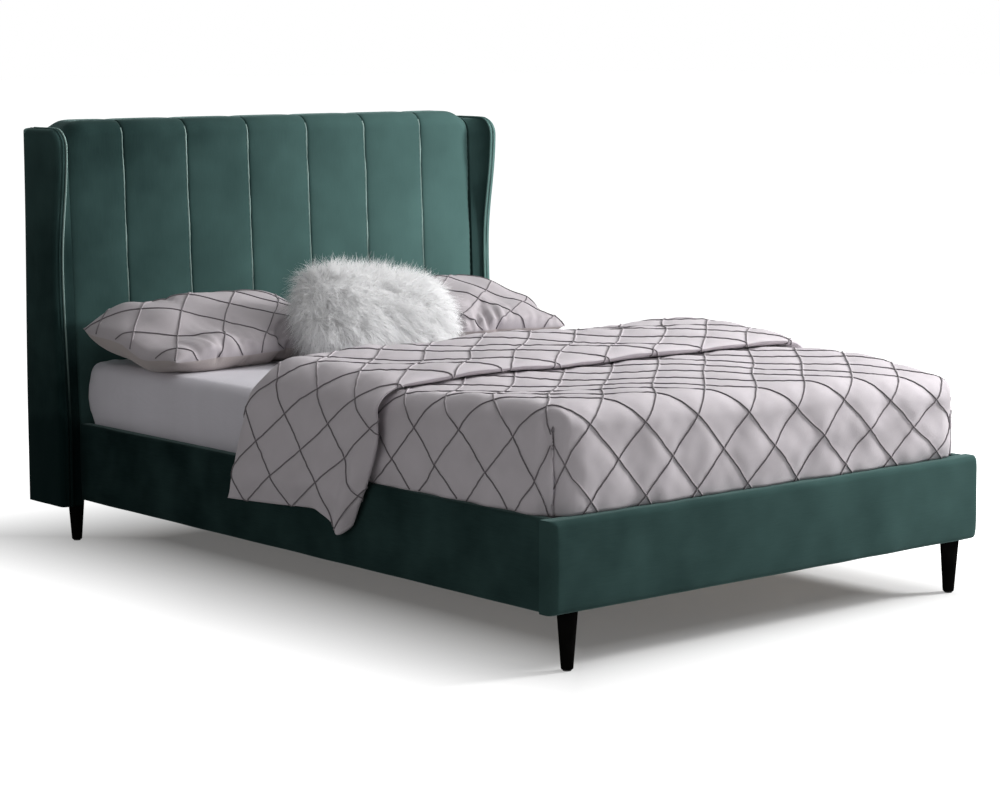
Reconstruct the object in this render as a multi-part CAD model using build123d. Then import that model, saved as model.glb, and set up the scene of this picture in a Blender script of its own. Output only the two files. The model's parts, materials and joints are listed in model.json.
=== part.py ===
from build123d import *
import math
import os

# Wingback double bed: a padded headboard with seven upright channels between two
# wings, padded rails on tapered legs, a sprung slatted base, a mattress and bedding.
# Millimetres. The origin is on the floor under the middle of the bed, +X is to the
# right of someone at the foot who looks at the headboard, +Y runs to the headboard.

os.makedirs("parts", exist_ok=True)

# Height of the headboard's top over the floor
bed_height = 1170.0

# Clearances and overruns
soft_gap = 0.3
hole_gap = 0.1
cut_overrun = 20.0

# Mattress and fitted sheet
mattress_width = 1350.0
mattress_length = 1890.0
mattress_thickness = 214.0
mattress_corner_radius = 60.0
mattress_edge_radius = 28.0
sheet_thickness = 1.5
sheet_tuck = 50.0

# Rails
rail_bottom = 135.0
rail_height = 212.0
mattress_recess = 47.0
rail_lip_thickness = 3.0
rail_lip_height = 28.0
rail_edge_radius = 9.0
mattress_side_play = 5.0
side_board_thickness = 18.0
side_padding = 12.0
rail_top_padding = 10.0
rail_bottom_padding = 8.0
mattress_foot_play = 20.0
foot_board_thickness = 22.0
foot_padding = 25.0
foot_rail_overhang = 7.0
foot_edge_radius = 16.0

# Headboard panel
headboard_rake = 2.5
headboard_reach = 170.0
headboard_standoff = 14.0
channel_count = 7
end_channel_width = 183.0
channel_gap = 0.5
panel_rail_lap = 5.0
pad_thickness = 30.0
pad_top_thickness = 40.0
pad_seam_depth = 9.0
pad_seam_dip = 6.0
pad_front_roll = 46.0
pad_rear_roll = 22.0
front_board_thickness = 9.0
back_cover_thickness = 3.0
post_width = 33.0
top_rail_height = 45.0
middle_rail_height = 40.0
middle_rail_centre = 640.0
bottom_rail_height = 100.0
base_panel_lap = 5.0
base_panel_drop = 3.0

# Wings
wing_drop = 13.0
wing_top_drop = 17.0
wing_reach = 62.0
wing_front_thickness = 30.0
wing_hip_height = 300.0
wing_hip_depth = 178.0
wing_waist_height = 770.0
wing_waist_depth = 155.0
wing_shoulder_radius = 73.0
wing_shoulder_depth = 187.0
wing_edge_radius = 8.0
wing_board_thickness = 18.0
wing_board_padding = 10.0
wing_board_inset = 14.0
wing_batten_depth = 87.0
wing_batten_top_drop = 58.0

# Slatted base
slat_count = 13
slat_width = 63.0
slat_thickness = 8.0
slat_first_inset = 97.0
slat_last_inset = 95.0
slat_end_drop = 23.0
bearer_width = 30.0
bearer_height = 32.0
bearer_head_clearance = 5.0
centre_rail_width = 40.0
centre_rail_height = 50.0
cap_length = 32.0
cap_height = 23.0
cap_floor = 15.0
cap_wall = 4.0
slat_bite = 22.0
hanger_plate_thickness = 2.0
hanger_plate_width = 70.0
hanger_cup_length = 40.0

# Centre supports
support_offset = 420.0
support_tube_radius = 16.0
support_tube_wall = 1.5
support_flange_size = 56.0
support_flange_thickness = 3.0
support_foot_radius = 20.0
support_foot_height = 16.0
support_flange_corner = 5.0
support_foot_chamfer = 3.0
support_plug_length = 42.0

# Legs
leg_top_radius = 24.0
leg_foot_radius = 14.0
leg_foot_chamfer = 2.0
leg_front_side_inset = 63.0
leg_front_offset = 2.0
leg_rear_side_inset = 53.0
leg_rear_setback = 50.0
glide_radius = 10.0
glide_height = 3.0
hanger_bolt_radius = 4.0
hanger_bolt_in_leg = 36.0
hanger_bolt_in_rail = 40.0

# Brackets, bolts and screws
bracket_thickness = 3.0
bracket_arm = 50.0
bracket_rise = 27.0
bracket_bearer_gap = 6.0
bracket_bolt_radius = 3.0
bracket_bolt_head_radius = 6.0
bracket_bolt_head_height = 4.0
bracket_bolt_length = 15.0
wing_bolt_radius = 4.0
wing_bolt_head_radius = 8.0
wing_bolt_head_height = 5.0
wing_bolt_length = 64.0
wing_bolt_depth = 42.0
screw_radius = 2.25
screw_head_radius = 4.5
screw_head_height = 2.5
screw_length = 44.0
screw_count = 5
screw_end_inset = 150.0

# Duvet
duvet_top_thickness = 60.0
duvet_side_thickness = 26.0
duvet_foot_thickness = 36.0
duvet_shoulder_radius = 62.0
duvet_crown = 8.0
duvet_foot_round = 44.0
duvet_head_round = 20.0
duvet_wave = 5.0
duvet_wave_count = 2
fold_wave_count = 3
duvet_head_gap = 807.5
fold_length = 542.0
fold_hem_round = 14.0
fold_ridge_round = 40.0
fold_thickness = 38.0
fold_side_gap = 3.0
fold_side_thickness = 38.0
fold_drop = 107.0
fold_ripple = 6.0
fold_front_slant = 100.0
fold_front_slant_height = 220.0
cloth_round_steps = 4
cloth_wave_steps = 4

# Pillows
pillow_length = 700.0
pillow_depth = 400.0
pillow_thickness = 182.0
pillow_seam = 7.0
pillow_draw_in = 12.0
pillow_tilt = 20.0
pillow_turn = 5.0
pillow_middle_gap = 22.0
pillow_rise = 68.0
pillow_headboard_gap = 6.0

# Fur cushion
cushion_length = 490.0
cushion_depth = 330.0
cushion_thickness = 150.0
cushion_seam = 9.0
cushion_draw_in = 9.0
cushion_lean = 64.0
cushion_roll = -5.0
cushion_centre_x = -50.0
cushion_lap = 26.0
cushion_rise = 138.0

# Shares of a length, width or height, chosen by hand
pad_section_shares = (-1.0, -0.93, -0.7, 0.0, 0.7, 0.93, 1.0)
pad_drop_shares = (1.0, 0.45, 0.08, 0.0, 0.08, 0.45, 1.0)
pillow_section_shares = (-1.0, -0.94, -0.78, -0.45, 0.0, 0.45, 0.78, 0.94, 1.0)
pillow_thickness_shares = (0.07, 0.36, 0.72, 0.95, 1.0, 0.95, 0.72, 0.36, 0.07)
pillow_depth_shares = (0.985, 1.0, 0.985, 0.955, 0.945, 0.955, 0.985, 1.0, 0.985)
wing_bolt_height_shares = (0.25, 0.45, 0.78)
bracket_bolt_share = 0.62

# Heights that follow from the sizes
rail_top = rail_bottom + rail_height
mattress_base_height = rail_top - mattress_recess
mattress_top = mattress_base_height + mattress_thickness
sheet_top = mattress_top + sheet_thickness
base_panel_top = mattress_base_height - base_panel_drop
slat_end_height = mattress_base_height - slat_end_drop
bearer_top = slat_end_height - cap_floor
bearer_bottom = bearer_top - bearer_height
bracket_bottom = rail_bottom + rail_bottom_padding + bracket_rise
bracket_height = bearer_bottom - bracket_bearer_gap - bracket_bottom
frame_top_height = bed_height - pad_top_thickness
wing_bottom = rail_bottom - wing_drop
wing_top = bed_height - wing_top_drop
wing_shoulder_height = wing_top - wing_shoulder_radius
wing_batten_length = wing_top - wing_batten_top_drop - rail_bottom

# Places across the bed
mattress_half = mattress_width / 2
sheet_half = mattress_half + sheet_thickness
side_inner = mattress_half + mattress_side_play
side_board_inner = side_inner + rail_lip_thickness
side_board_outer = side_board_inner + side_board_thickness
side_outer = side_board_outer + side_padding
foot_half = side_outer + foot_rail_overhang
half_width = side_outer + wing_reach
wing_inner_edge = half_width - wing_front_thickness
panel_half_width = side_outer - panel_rail_lap
channel_pitch = 2 * (panel_half_width - end_channel_width) / (channel_count - 2)
leg_front_x = side_outer - leg_front_side_inset
leg_rear_x = panel_half_width - leg_rear_side_inset

# Places along the bed
foot_depth = foot_padding + foot_board_thickness + rail_lip_thickness
bed_length = foot_depth + mattress_foot_play + mattress_length + headboard_reach
foot_front = -bed_length / 2
foot_board_front = foot_front + foot_padding
foot_board_back = foot_board_front + foot_board_thickness
foot_back = foot_front + foot_depth
mattress_foot = foot_back + mattress_foot_play
mattress_head = mattress_foot + mattress_length
base_panel_front = mattress_head - base_panel_lap
headboard_back = mattress_head + headboard_reach
headboard_frame_back = headboard_back - back_cover_thickness
leg_front_setback = foot_padding + foot_board_thickness / 2 - leg_front_offset
rake_slope = math.tan(math.radians(headboard_rake))


def face_y(height):
    """Y of the padded headboard face at a height, on the crown of a channel."""
    return mattress_head + headboard_standoff + (height - mattress_top) * rake_slope


def board_front_y(height):
    """Y of the front of the headboard's board, behind the pads."""
    return face_y(height) + pad_thickness


def board_back_y(height):
    """Y of the back of the headboard's board."""
    return board_front_y(height) + front_board_thickness


def block(low, high):
    """A box between two corners."""
    size = [b - a for a, b in zip(low, high)]
    middle = [(a + b) / 2 for a, b in zip(low, high)]
    return Pos(*middle) * Box(*size)


def rod(start, direction, radius, length):
    """A round bar that starts at a point and runs along a direction."""
    return Plane(origin=start, z_dir=direction) * Cylinder(
        radius, length, align=(Align.CENTER, Align.CENTER, Align.MIN)
    )


def mirrored(shape):
    """The same shape on the other side of the bed."""
    return mirror(shape, about=Plane.YZ)


def profile_face(x, points):
    """A polygon in the YZ plane at a place along X."""
    return Plane.YZ.offset(x) * make_face(Polyline(*points, close=True))


def save(name, shape):
    """Writes one piece, or one group of like pieces, as its own node."""
    shape.label = name
    export_step(shape, "parts/" + name + ".step")


# Headboard


def channel_pad_section(x, drop, dip):
    """The side view of a channel pad, with its roll over the top rail."""
    bottom = mattress_base_height
    top = bed_height - dip
    roll_start = top - pad_front_roll
    front_low = (face_y(bottom) + drop, bottom)
    front_high = (face_y(roll_start) + drop, roll_start)
    roll_end = (front_high[0] + pad_front_roll, top)
    rear_start = (headboard_back - pad_rear_roll, top)
    rear_end = (headboard_back, top - pad_rear_roll)
    lines = [
        Line((board_front_y(bottom), bottom), front_low),
        Line(front_low, front_high),
        TangentArc(front_high, roll_end, tangent=(rake_slope, 1.0)),
        Line(roll_end, rear_start),
        TangentArc(rear_start, rear_end, tangent=(1.0, 0.0)),
        Line(rear_end, (headboard_back, frame_top_height)),
        Line((headboard_back, frame_top_height), (board_front_y(frame_top_height), frame_top_height)),
        Line((board_front_y(frame_top_height), frame_top_height), (board_front_y(bottom), bottom)),
    ]
    return Plane.YZ.offset(x) * make_face(lines)


def channel_pad(index):
    """One upright channel: crowned between its seams and rolled over the top."""
    centre = (index - (channel_count - 1) / 2) * channel_pitch
    low = max(centre - channel_pitch / 2, -panel_half_width) + channel_gap / 2
    high = min(centre + channel_pitch / 2, panel_half_width) - channel_gap / 2
    end_drop = bed_height - wing_top
    sections = []
    for place, share in zip(pad_section_shares, pad_drop_shares):
        x = (low + high) / 2 + place * (high - low) / 2
        at_wing = place * (index - (channel_count - 1) / 2) > 0 and index in (0, channel_count - 1)
        dip = (end_drop if at_wing else pad_seam_dip) * share
        sections.append(channel_pad_section(x, pad_seam_depth * share, dip))
    return loft(sections, ruled=True)


def headboard_front_board():
    """The raked board that carries the pads."""
    points = [
        (board_front_y(rail_bottom), rail_bottom),
        (board_back_y(rail_bottom), rail_bottom),
        (board_back_y(frame_top_height), frame_top_height),
        (board_front_y(frame_top_height), frame_top_height),
    ]
    return extrude(profile_face(-panel_half_width, points), 2 * panel_half_width, dir=(1, 0, 0))


def headboard_member(x_low, x_high, bottom, top):
    """A timber of the headboard's frame, between the raked board and the back."""
    points = [
        (board_back_y(bottom), bottom),
        (headboard_frame_back, bottom),
        (headboard_frame_back, top),
        (board_back_y(top), top),
    ]
    return extrude(profile_face(x_low, points), x_high - x_low, dir=(1, 0, 0))


def headboard_base_panel():
    """The covered panel below the pads, which takes the ends of the side rails."""
    points = [
        (base_panel_front, rail_bottom),
        (board_front_y(rail_bottom), rail_bottom),
        (board_front_y(base_panel_top), base_panel_top),
        (base_panel_front, base_panel_top),
    ]
    return extrude(profile_face(-panel_half_width, points), 2 * panel_half_width, dir=(1, 0, 0))


# Wings


def wing_profile(x, inset, curved):
    """The side view of a wing: hip, drawn-in waist and rounded shoulder.

    The curved profile is the wing's front edge; the other one follows the raked
    headboard face, where the wing meets the pads.
    """
    heights = [
        wing_bottom + inset,
        wing_hip_height,
        (wing_hip_height + wing_waist_height) / 2,
        wing_waist_height,
        (wing_waist_height + wing_shoulder_height) / 2,
        wing_shoulder_height,
    ]
    if curved:
        hip = headboard_back - wing_hip_depth + inset
        waist = headboard_back - wing_waist_depth + inset
        shoulder = headboard_back - wing_shoulder_depth + inset
        fronts = [hip, hip, (hip + waist) / 2, waist, (waist + shoulder) / 2, shoulder]
    else:
        fronts = [face_y(height) for height in heights]
    edge = list(zip(fronts, heights))
    top = wing_top - inset
    back = headboard_back if inset == 0 else headboard_frame_back
    top_front = (edge[5][0] + top - wing_shoulder_height, top)
    lines = [Line((back, heights[0]), edge[0]), Line(edge[0], edge[1])]
    if curved:
        lines.append(TangentArc(edge[1], edge[2], tangent=(0.0, 1.0)))
        lines.append(TangentArc(edge[3], edge[2], tangent=(0.0, -1.0)))
        lines.append(TangentArc(edge[3], edge[4], tangent=(0.0, 1.0)))
        lines.append(TangentArc(edge[5], edge[4], tangent=(0.0, -1.0)))
    else:
        lines += [Line(edge[i], edge[i + 1]) for i in range(1, 5)]
    lines += [
        TangentArc(edge[5], top_front, tangent=(0.0, 1.0)),
        Line(top_front, (back, top)),
        Line((back, top), (back, heights[0])),
    ]
    return Plane.YZ.offset(x) * make_face(lines)


def wing_board():
    """The shaped board inside the right wing."""
    outer = half_width - wing_board_padding
    return extrude(
        wing_profile(outer - wing_board_thickness, wing_board_inset, True),
        wing_board_thickness,
        dir=(1, 0, 0),
    )


def wing_batten():
    """The batten that joins the right wing's board to the headboard's post."""
    board_inner = half_width - wing_board_padding - wing_board_thickness
    return block(
        (panel_half_width, headboard_frame_back - wing_batten_depth, rail_bottom),
        (board_inner, headboard_frame_back, rail_bottom + wing_batten_length),
    )


def wing_cover():
    """The padded cover of the right wing, hollow for its board and batten."""
    flare = loft(
        [wing_profile(panel_half_width, 0, False), wing_profile(wing_inner_edge, 0, True)], ruled=True
    )
    slab = extrude(wing_profile(wing_inner_edge, 0, True), wing_front_thickness, dir=(1, 0, 0))
    outer_edges = slab.edges().filter_by_position(Axis.X, half_width, half_width)
    rounded = [e for e in outer_edges if e.center().Y < headboard_back - wing_edge_radius]
    slab = fillet(rounded, wing_edge_radius)
    return flare + slab - wing_board() - wing_batten()


def wing_bolt_places():
    """Where the bolts that hold the right wing go through its post."""
    return [
        (
            panel_half_width - post_width,
            headboard_frame_back - wing_bolt_depth,
            rail_bottom + share * wing_batten_length,
        )
        for share in wing_bolt_height_shares
    ]


def wing_bolt_set():
    """The bolts of the right wing, with their heads inside the headboard."""
    bolts = []
    for place in wing_bolt_places():
        shank = rod(place, (1, 0, 0), wing_bolt_radius, wing_bolt_length)
        head = rod(place, (-1, 0, 0), wing_bolt_head_radius, wing_bolt_head_height)
        bolts.append(shank + head)
    return bolts


def wing_bolt_holes():
    """The holes for those bolts."""
    holes = []
    for place in wing_bolt_places():
        holes.append(rod(place, (1, 0, 0), wing_bolt_radius + hole_gap, wing_bolt_length + hole_gap))
    return holes


# Rails


def side_rail_board():
    """The board of the right side rail."""
    return block(
        (side_board_inner, foot_back, rail_bottom + rail_bottom_padding),
        (side_board_outer, base_panel_front, rail_top - rail_top_padding),
    )


def side_rail_cover():
    """The padded cover of the right side rail: outside, over the edges and lipped inside."""
    form = block((side_inner, foot_back, rail_bottom), (side_outer, base_panel_front, rail_top))
    corners = form.edges().filter_by(Axis.Y).filter_by_position(Axis.X, side_outer, side_outer)
    form = fillet(corners, rail_edge_radius)
    inside = block(
        (side_inner - cut_overrun, foot_back - cut_overrun, rail_bottom + rail_lip_height),
        (side_board_inner, base_panel_front + cut_overrun, rail_top - rail_lip_height),
    )
    return form - side_rail_board() - inside


def foot_rail_board():
    """The board of the foot rail."""
    reach = foot_half - side_padding
    return block(
        (-reach, foot_board_front, rail_bottom + rail_bottom_padding),
        (reach, foot_board_back, rail_top - rail_top_padding),
    )


def foot_rail_cover():
    """The padded cover of the foot rail, with a rounded front and closed ends."""
    form = block((-foot_half, foot_front, rail_bottom), (foot_half, foot_back, rail_top))
    long_edges = form.edges().filter_by(Axis.X).filter_by_position(Axis.Y, foot_front, foot_front)
    end_edges = form.edges().filter_by(Axis.Z).filter_by_position(Axis.Y, foot_front, foot_front)
    form = fillet(long_edges + end_edges, foot_edge_radius)
    reach = foot_half - side_padding
    inside = block(
        (-reach, foot_board_back, rail_bottom + rail_lip_height),
        (reach, foot_back + cut_overrun, rail_top - rail_lip_height),
    )
    return form - foot_rail_board() - inside


# Corner brackets, at the right side


def bracket(corner_y, towards_head):
    """A steel angle in the corner of the right side rail."""
    side = 1 if towards_head else -1
    along = block(
        (side_board_inner - bracket_thickness, min(corner_y, corner_y - side * bracket_arm), bracket_bottom),
        (side_board_inner, max(corner_y, corner_y - side * bracket_arm), bracket_bottom + bracket_height),
    )
    inner_y = corner_y - side * bracket_thickness
    across = block(
        (side_board_inner - bracket_arm, min(corner_y, inner_y), bracket_bottom),
        (side_board_inner, max(corner_y, inner_y), bracket_bottom + bracket_height),
    )
    return along + across


def bracket_bolt_lines():
    """Seats and directions of the bolts through the two right-hand brackets."""
    height = bracket_bottom + bracket_height / 2
    side_seat = side_board_inner - bracket_thickness
    bolt_inset = bracket_arm * bracket_bolt_share
    across_x = side_board_inner - bolt_inset
    foot_y = foot_board_back + bolt_inset
    head_y = base_panel_front - bolt_inset
    return [
        ((side_seat, foot_y, height), (1, 0, 0)),
        ((across_x, foot_board_back + bracket_thickness, height), (0, -1, 0)),
        ((side_seat, head_y, height), (1, 0, 0)),
        ((across_x, base_panel_front - bracket_thickness, height), (0, 1, 0)),
    ]


def bracket_bolt_set():
    """The bolts of the right-hand brackets."""
    bolts = []
    for seat, direction in bracket_bolt_lines():
        away = tuple(-d for d in direction)
        shank = rod(seat, direction, bracket_bolt_radius, bracket_bolt_length)
        head = rod(seat, away, bracket_bolt_head_radius, bracket_bolt_head_height)
        bolts.append(shank + head)
    return bolts


def bracket_bolt_holes():
    """The holes for those bolts."""
    holes = []
    for seat, direction in bracket_bolt_lines():
        reach = bracket_bolt_length + hole_gap
        holes.append(rod(seat, direction, bracket_bolt_radius + hole_gap, reach))
    return holes


# Slatted base


def slat_places():
    """Y of the middle of each slat."""
    first = mattress_foot + slat_first_inset
    last = mattress_head - slat_last_inset
    return [first + i * (last - first) / (slat_count - 1) for i in range(slat_count)]


slat_inner_x = centre_rail_width / 2 - slat_bite + cap_wall
slat_outer_x = side_board_inner - cap_wall - soft_gap
slat_crown_height = mattress_base_height - soft_gap - slat_thickness / 2


def slat_form(y, extra):
    """A sprung slat: a flat strip bent upwards, grown all round by a clearance."""
    low = slat_inner_x - extra
    high = slat_outer_x + extra
    middle = (low + high) / 2
    half = slat_thickness / 2 + extra
    upper = ThreePointArc(
        (low, slat_end_height + half), (middle, slat_crown_height + half), (high, slat_end_height + half)
    )
    lower = ThreePointArc(
        (low, slat_end_height - half), (middle, slat_crown_height - half), (high, slat_end_height - half)
    )
    outline = [upper, lower, Line(upper @ 0, lower @ 0), Line(upper @ 1, lower @ 1)]
    width = slat_width + 2 * extra
    return extrude(Plane.XZ.offset(-y - width / 2) * make_face(outline), width, dir=(0, -1, 0))


def slats():
    """The right-hand column of slats."""
    return [slat_form(y, 0) for y in slat_places()]


def cap_body(x_low, x_high, y):
    """The outside of a plastic slat holder that stands on its bearer."""
    half = slat_width / 2 + cap_wall
    body = block((x_low, y - half, bearer_top), (x_high, y + half, bearer_top + cap_height))
    return chamfer(body.edges().filter_by(Axis.Z), cap_wall / 2)


def outer_caps():
    """The holders on the right side rail's bearer."""
    return [
        cap_body(side_board_inner - cap_length, side_board_inner, y) - slat_form(y, hole_gap)
        for y in slat_places()
    ]


def centre_caps():
    """The double holders on the centre rail."""
    caps = []
    for y in slat_places():
        slot = slat_form(y, hole_gap)
        reach = centre_rail_width / 2 + cap_wall
        caps.append(cap_body(-reach, reach, y) - slot - mirrored(slot))
    return caps


def slat_bearer():
    """The batten along the right side rail that carries the holders."""
    return block(
        (side_board_inner - bearer_width, foot_back, bearer_bottom),
        (side_board_inner, base_panel_front - bearer_head_clearance, bearer_top),
    )


def screw_places():
    """Where the right-hand bearer is screwed to its board."""
    first = foot_back + screw_end_inset
    last = base_panel_front - screw_end_inset
    step = (last - first) / (screw_count - 1)
    x = side_board_inner - bearer_width
    return [(x, first + i * step, bearer_top - bearer_height / 2) for i in range(screw_count)]


def screw_form(place, extra):
    """A countersunk screw, grown by a clearance."""
    shank = rod(place, (1, 0, 0), screw_radius + extra, screw_length + extra)
    head = Plane(origin=place, z_dir=(1, 0, 0)) * Cone(
        screw_head_radius + extra,
        screw_radius + extra,
        screw_head_height,
        align=(Align.CENTER, Align.CENTER, Align.MIN),
    )
    return shank + head


def centre_rail():
    """The rail along the middle, which carries the inner ends of the slats."""
    return block(
        (-centre_rail_width / 2, foot_board_back + hanger_plate_thickness, bearer_top - centre_rail_height),
        (centre_rail_width / 2, base_panel_front - hanger_plate_thickness, bearer_top),
    )


def centre_rail_hanger(wall_y, side):
    """A steel stirrup that holds one end of the centre rail."""
    t = hanger_plate_thickness
    rail_low = bearer_top - centre_rail_height
    rail_half = centre_rail_width / 2
    plate_y = wall_y + side * t
    cup_y = wall_y + side * hanger_cup_length
    plate = block(
        (-hanger_plate_width / 2, min(wall_y, plate_y), rail_low - t),
        (hanger_plate_width / 2, max(wall_y, plate_y), bearer_top),
    )
    cup = block(
        (-rail_half - t, min(plate_y, cup_y), rail_low - t),
        (rail_half + t, max(plate_y, cup_y), bearer_top - centre_rail_height / 2),
    )
    room = block(
        (-rail_half, min(plate_y, cup_y) - cut_overrun, rail_low),
        (rail_half, max(plate_y, cup_y) + cut_overrun, bearer_top),
    )
    return plate + (cup - room)


def support_leg(y):
    """A steel tube with a flange under the centre rail."""
    top = bearer_top - centre_rail_height
    tube_height = top - support_foot_height
    tube = Pos(0, y, support_foot_height) * Cylinder(
        support_tube_radius, tube_height, align=(Align.CENTER, Align.CENTER, Align.MIN)
    )
    bore = Pos(0, y, support_foot_height) * Cylinder(
        support_tube_radius - support_tube_wall,
        tube_height - support_flange_thickness,
        align=(Align.CENTER, Align.CENTER, Align.MIN),
    )
    half = support_flange_size / 2
    flange = block((-half, y - half, top - support_flange_thickness), (half, y + half, top))
    flange = fillet(flange.edges().filter_by(Axis.Z), support_flange_corner)
    return tube + flange - bore


def support_foot(y):
    """The plastic foot of a centre support, with a plug inside the tube."""
    pad = Pos(0, y, 0) * Cylinder(
        support_foot_radius, support_foot_height, align=(Align.CENTER, Align.CENTER, Align.MIN)
    )
    pad = chamfer(pad.edges().group_by(Axis.Z)[-1], support_foot_chamfer)
    plug = Pos(0, y, support_foot_height) * Cylinder(
        support_tube_radius - support_tube_wall - hole_gap,
        support_plug_length,
        align=(Align.CENTER, Align.CENTER, Align.MIN),
    )
    return pad + plug


# Legs


def leg(x, y):
    """A tapered round leg with a chamfered foot and a bore for its hanger bolt."""
    outline = [
        (0.0, glide_height),
        (leg_foot_radius, glide_height),
        (leg_top_radius, rail_bottom),
        (0.0, rail_bottom),
    ]
    form = revolve(Plane.XZ * make_face(Polyline(*outline, close=True)), Axis.Z)
    form = chamfer(form.edges().group_by(Axis.Z)[0], leg_foot_chamfer)
    bore = rod((0, 0, rail_bottom), (0, 0, -1), hanger_bolt_radius + hole_gap, hanger_bolt_in_leg)
    return Pos(x, y, 0) * (form - bore)


def leg_places():
    """Plan places of the right-hand front and rear legs."""
    return [(leg_front_x, foot_front + leg_front_setback), (leg_rear_x, headboard_back - leg_rear_setback)]


def hanger_bolt(x, y):
    """The bolt that joins a leg to the rail above it."""
    start = rail_bottom - hanger_bolt_in_leg + soft_gap
    length = hanger_bolt_in_leg + hanger_bolt_in_rail - 2 * soft_gap
    return rod((x, y, start), (0, 0, 1), hanger_bolt_radius, length)


def hanger_bolt_hole(x, y):
    """The bore above a leg for its hanger bolt."""
    return rod((x, y, rail_bottom), (0, 0, 1), hanger_bolt_radius + hole_gap, hanger_bolt_in_rail)


# Mattress and bedding


def mattress_form(grow):
    """The mattress, with rounded corners and edges, grown all round by a thickness."""
    form = block(
        (-mattress_half - grow, mattress_foot - grow, mattress_base_height - grow),
        (mattress_half + grow, mattress_head + grow, mattress_top + grow),
    )
    form = fillet(form.edges().filter_by(Axis.Z), mattress_corner_radius + grow)
    rims = form.edges().group_by(Axis.Z)[0] + form.edges().group_by(Axis.Z)[-1]
    return fillet(rims, mattress_edge_radius + grow)


def fitted_sheet():
    """The sheet over the mattress, tucked a hand's width under it."""
    reach = mattress_half - sheet_tuck
    window = block(
        (-reach, mattress_foot + sheet_tuck, mattress_base_height - cut_overrun),
        (reach, mattress_head - sheet_tuck, mattress_base_height + cut_overrun),
    )
    return mattress_form(sheet_thickness) - mattress_form(hole_gap) - window


def draped_section(y, half, bottom, top, crown):
    """A cloth thrown over the bed, in front view: two sides, two rounded shoulders, a crown."""
    shoulder = top - duvet_shoulder_radius
    flat = half - duvet_shoulder_radius
    left = (-half, shoulder)
    right = (half, shoulder)
    lines = [
        Line((-half, bottom), (half, bottom)),
        Line((half, bottom), right),
        TangentArc(right, (flat, top), tangent=(0.0, 1.0)),
        ThreePointArc((flat, top), (0.0, top + crown), (-flat, top)),
        TangentArc(left, (-flat, top), tangent=(0.0, 1.0)),
        Line(left, (-half, bottom)),
    ]
    return Plane.XZ.offset(-y) * make_face(lines)


duvet_foot = mattress_foot - sheet_thickness - duvet_foot_thickness
fold_ridge_y = mattress_head - duvet_head_gap
fold_hem_y = fold_ridge_y - fold_length
fold_hem_height = rail_top - fold_drop
fold_front_slant_top = fold_hem_height + fold_front_slant_height
duvet_half = sheet_half + duvet_side_thickness
fold_half = side_outer + fold_side_gap + fold_side_thickness


def draped_run(y_low, y_high, half, bottom, top, waves, side_wave, low_round, high_round):
    """A draped cloth between two places along the bed, with soft waves and rounded ends."""
    start = y_low + low_round
    length = y_high - high_round - start
    steps = waves * cloth_wave_steps
    sections = []
    for i in range(steps + 1):
        share = i / steps
        swell = (1 - math.cos(2 * math.pi * waves * share)) / 2
        height = top + duvet_wave * swell
        sections.append(
            draped_section(start + share * length, half - side_wave * swell, bottom, height, duvet_crown)
        )
    run = loft(sections, ruled=True)
    for end, side, radius in ((start, -1, low_round), (y_high - high_round, 1, high_round)):
        rounding = []
        for j in range(cloth_round_steps + 1):
            angle = math.radians(90 * j / cloth_round_steps)
            inset = radius * (1 - math.cos(angle))
            y = end + side * radius * math.sin(angle)
            rounding.append(draped_section(y, half - inset, bottom, top - inset, duvet_crown))
        run += loft(rounding, ruled=True)
    return run


def duvet_body():
    """The lower layer: over the foot and both sides, down to the rails' tops."""
    return draped_run(
        duvet_foot,
        fold_ridge_y - fold_ridge_round,
        duvet_half,
        rail_bottom,
        sheet_top + duvet_top_thickness,
        duvet_wave_count,
        duvet_wave,
        duvet_foot_round,
        duvet_head_round,
    )


def duvet_fold():
    """The head end folded back, hanging outside the side rails in soft folds."""
    return draped_run(
        fold_hem_y,
        fold_ridge_y,
        fold_half,
        fold_hem_height,
        sheet_top + duvet_top_thickness + fold_thickness,
        fold_wave_count,
        fold_ripple,
        fold_hem_round,
        fold_ridge_round,
    )


def duvet():
    """The duvet, open below for the mattress and the rails."""
    clear = sheet_half + soft_gap
    mattress_room = block(
        (-clear, mattress_foot - sheet_thickness - soft_gap, 0),
        (clear, mattress_head, sheet_top + soft_gap),
    )
    rail_clear = side_outer + fold_side_gap
    rail_room = block(
        (-rail_clear, foot_front, 0), (rail_clear, mattress_head, rail_top + soft_gap)
    )
    slant = [
        (fold_hem_y - cut_overrun, fold_front_slant_top),
        (fold_hem_y, fold_front_slant_top),
        (fold_hem_y + fold_front_slant, fold_hem_height),
        (fold_hem_y + fold_front_slant, 0.0),
        (fold_hem_y - cut_overrun, 0.0),
    ]
    wedge = extrude(profile_face(duvet_half, slant), fold_half, dir=(1, 0, 0))
    fold = duvet_fold() - wedge - mirrored(wedge)
    return duvet_body() + fold - mattress_room - rail_room


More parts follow.
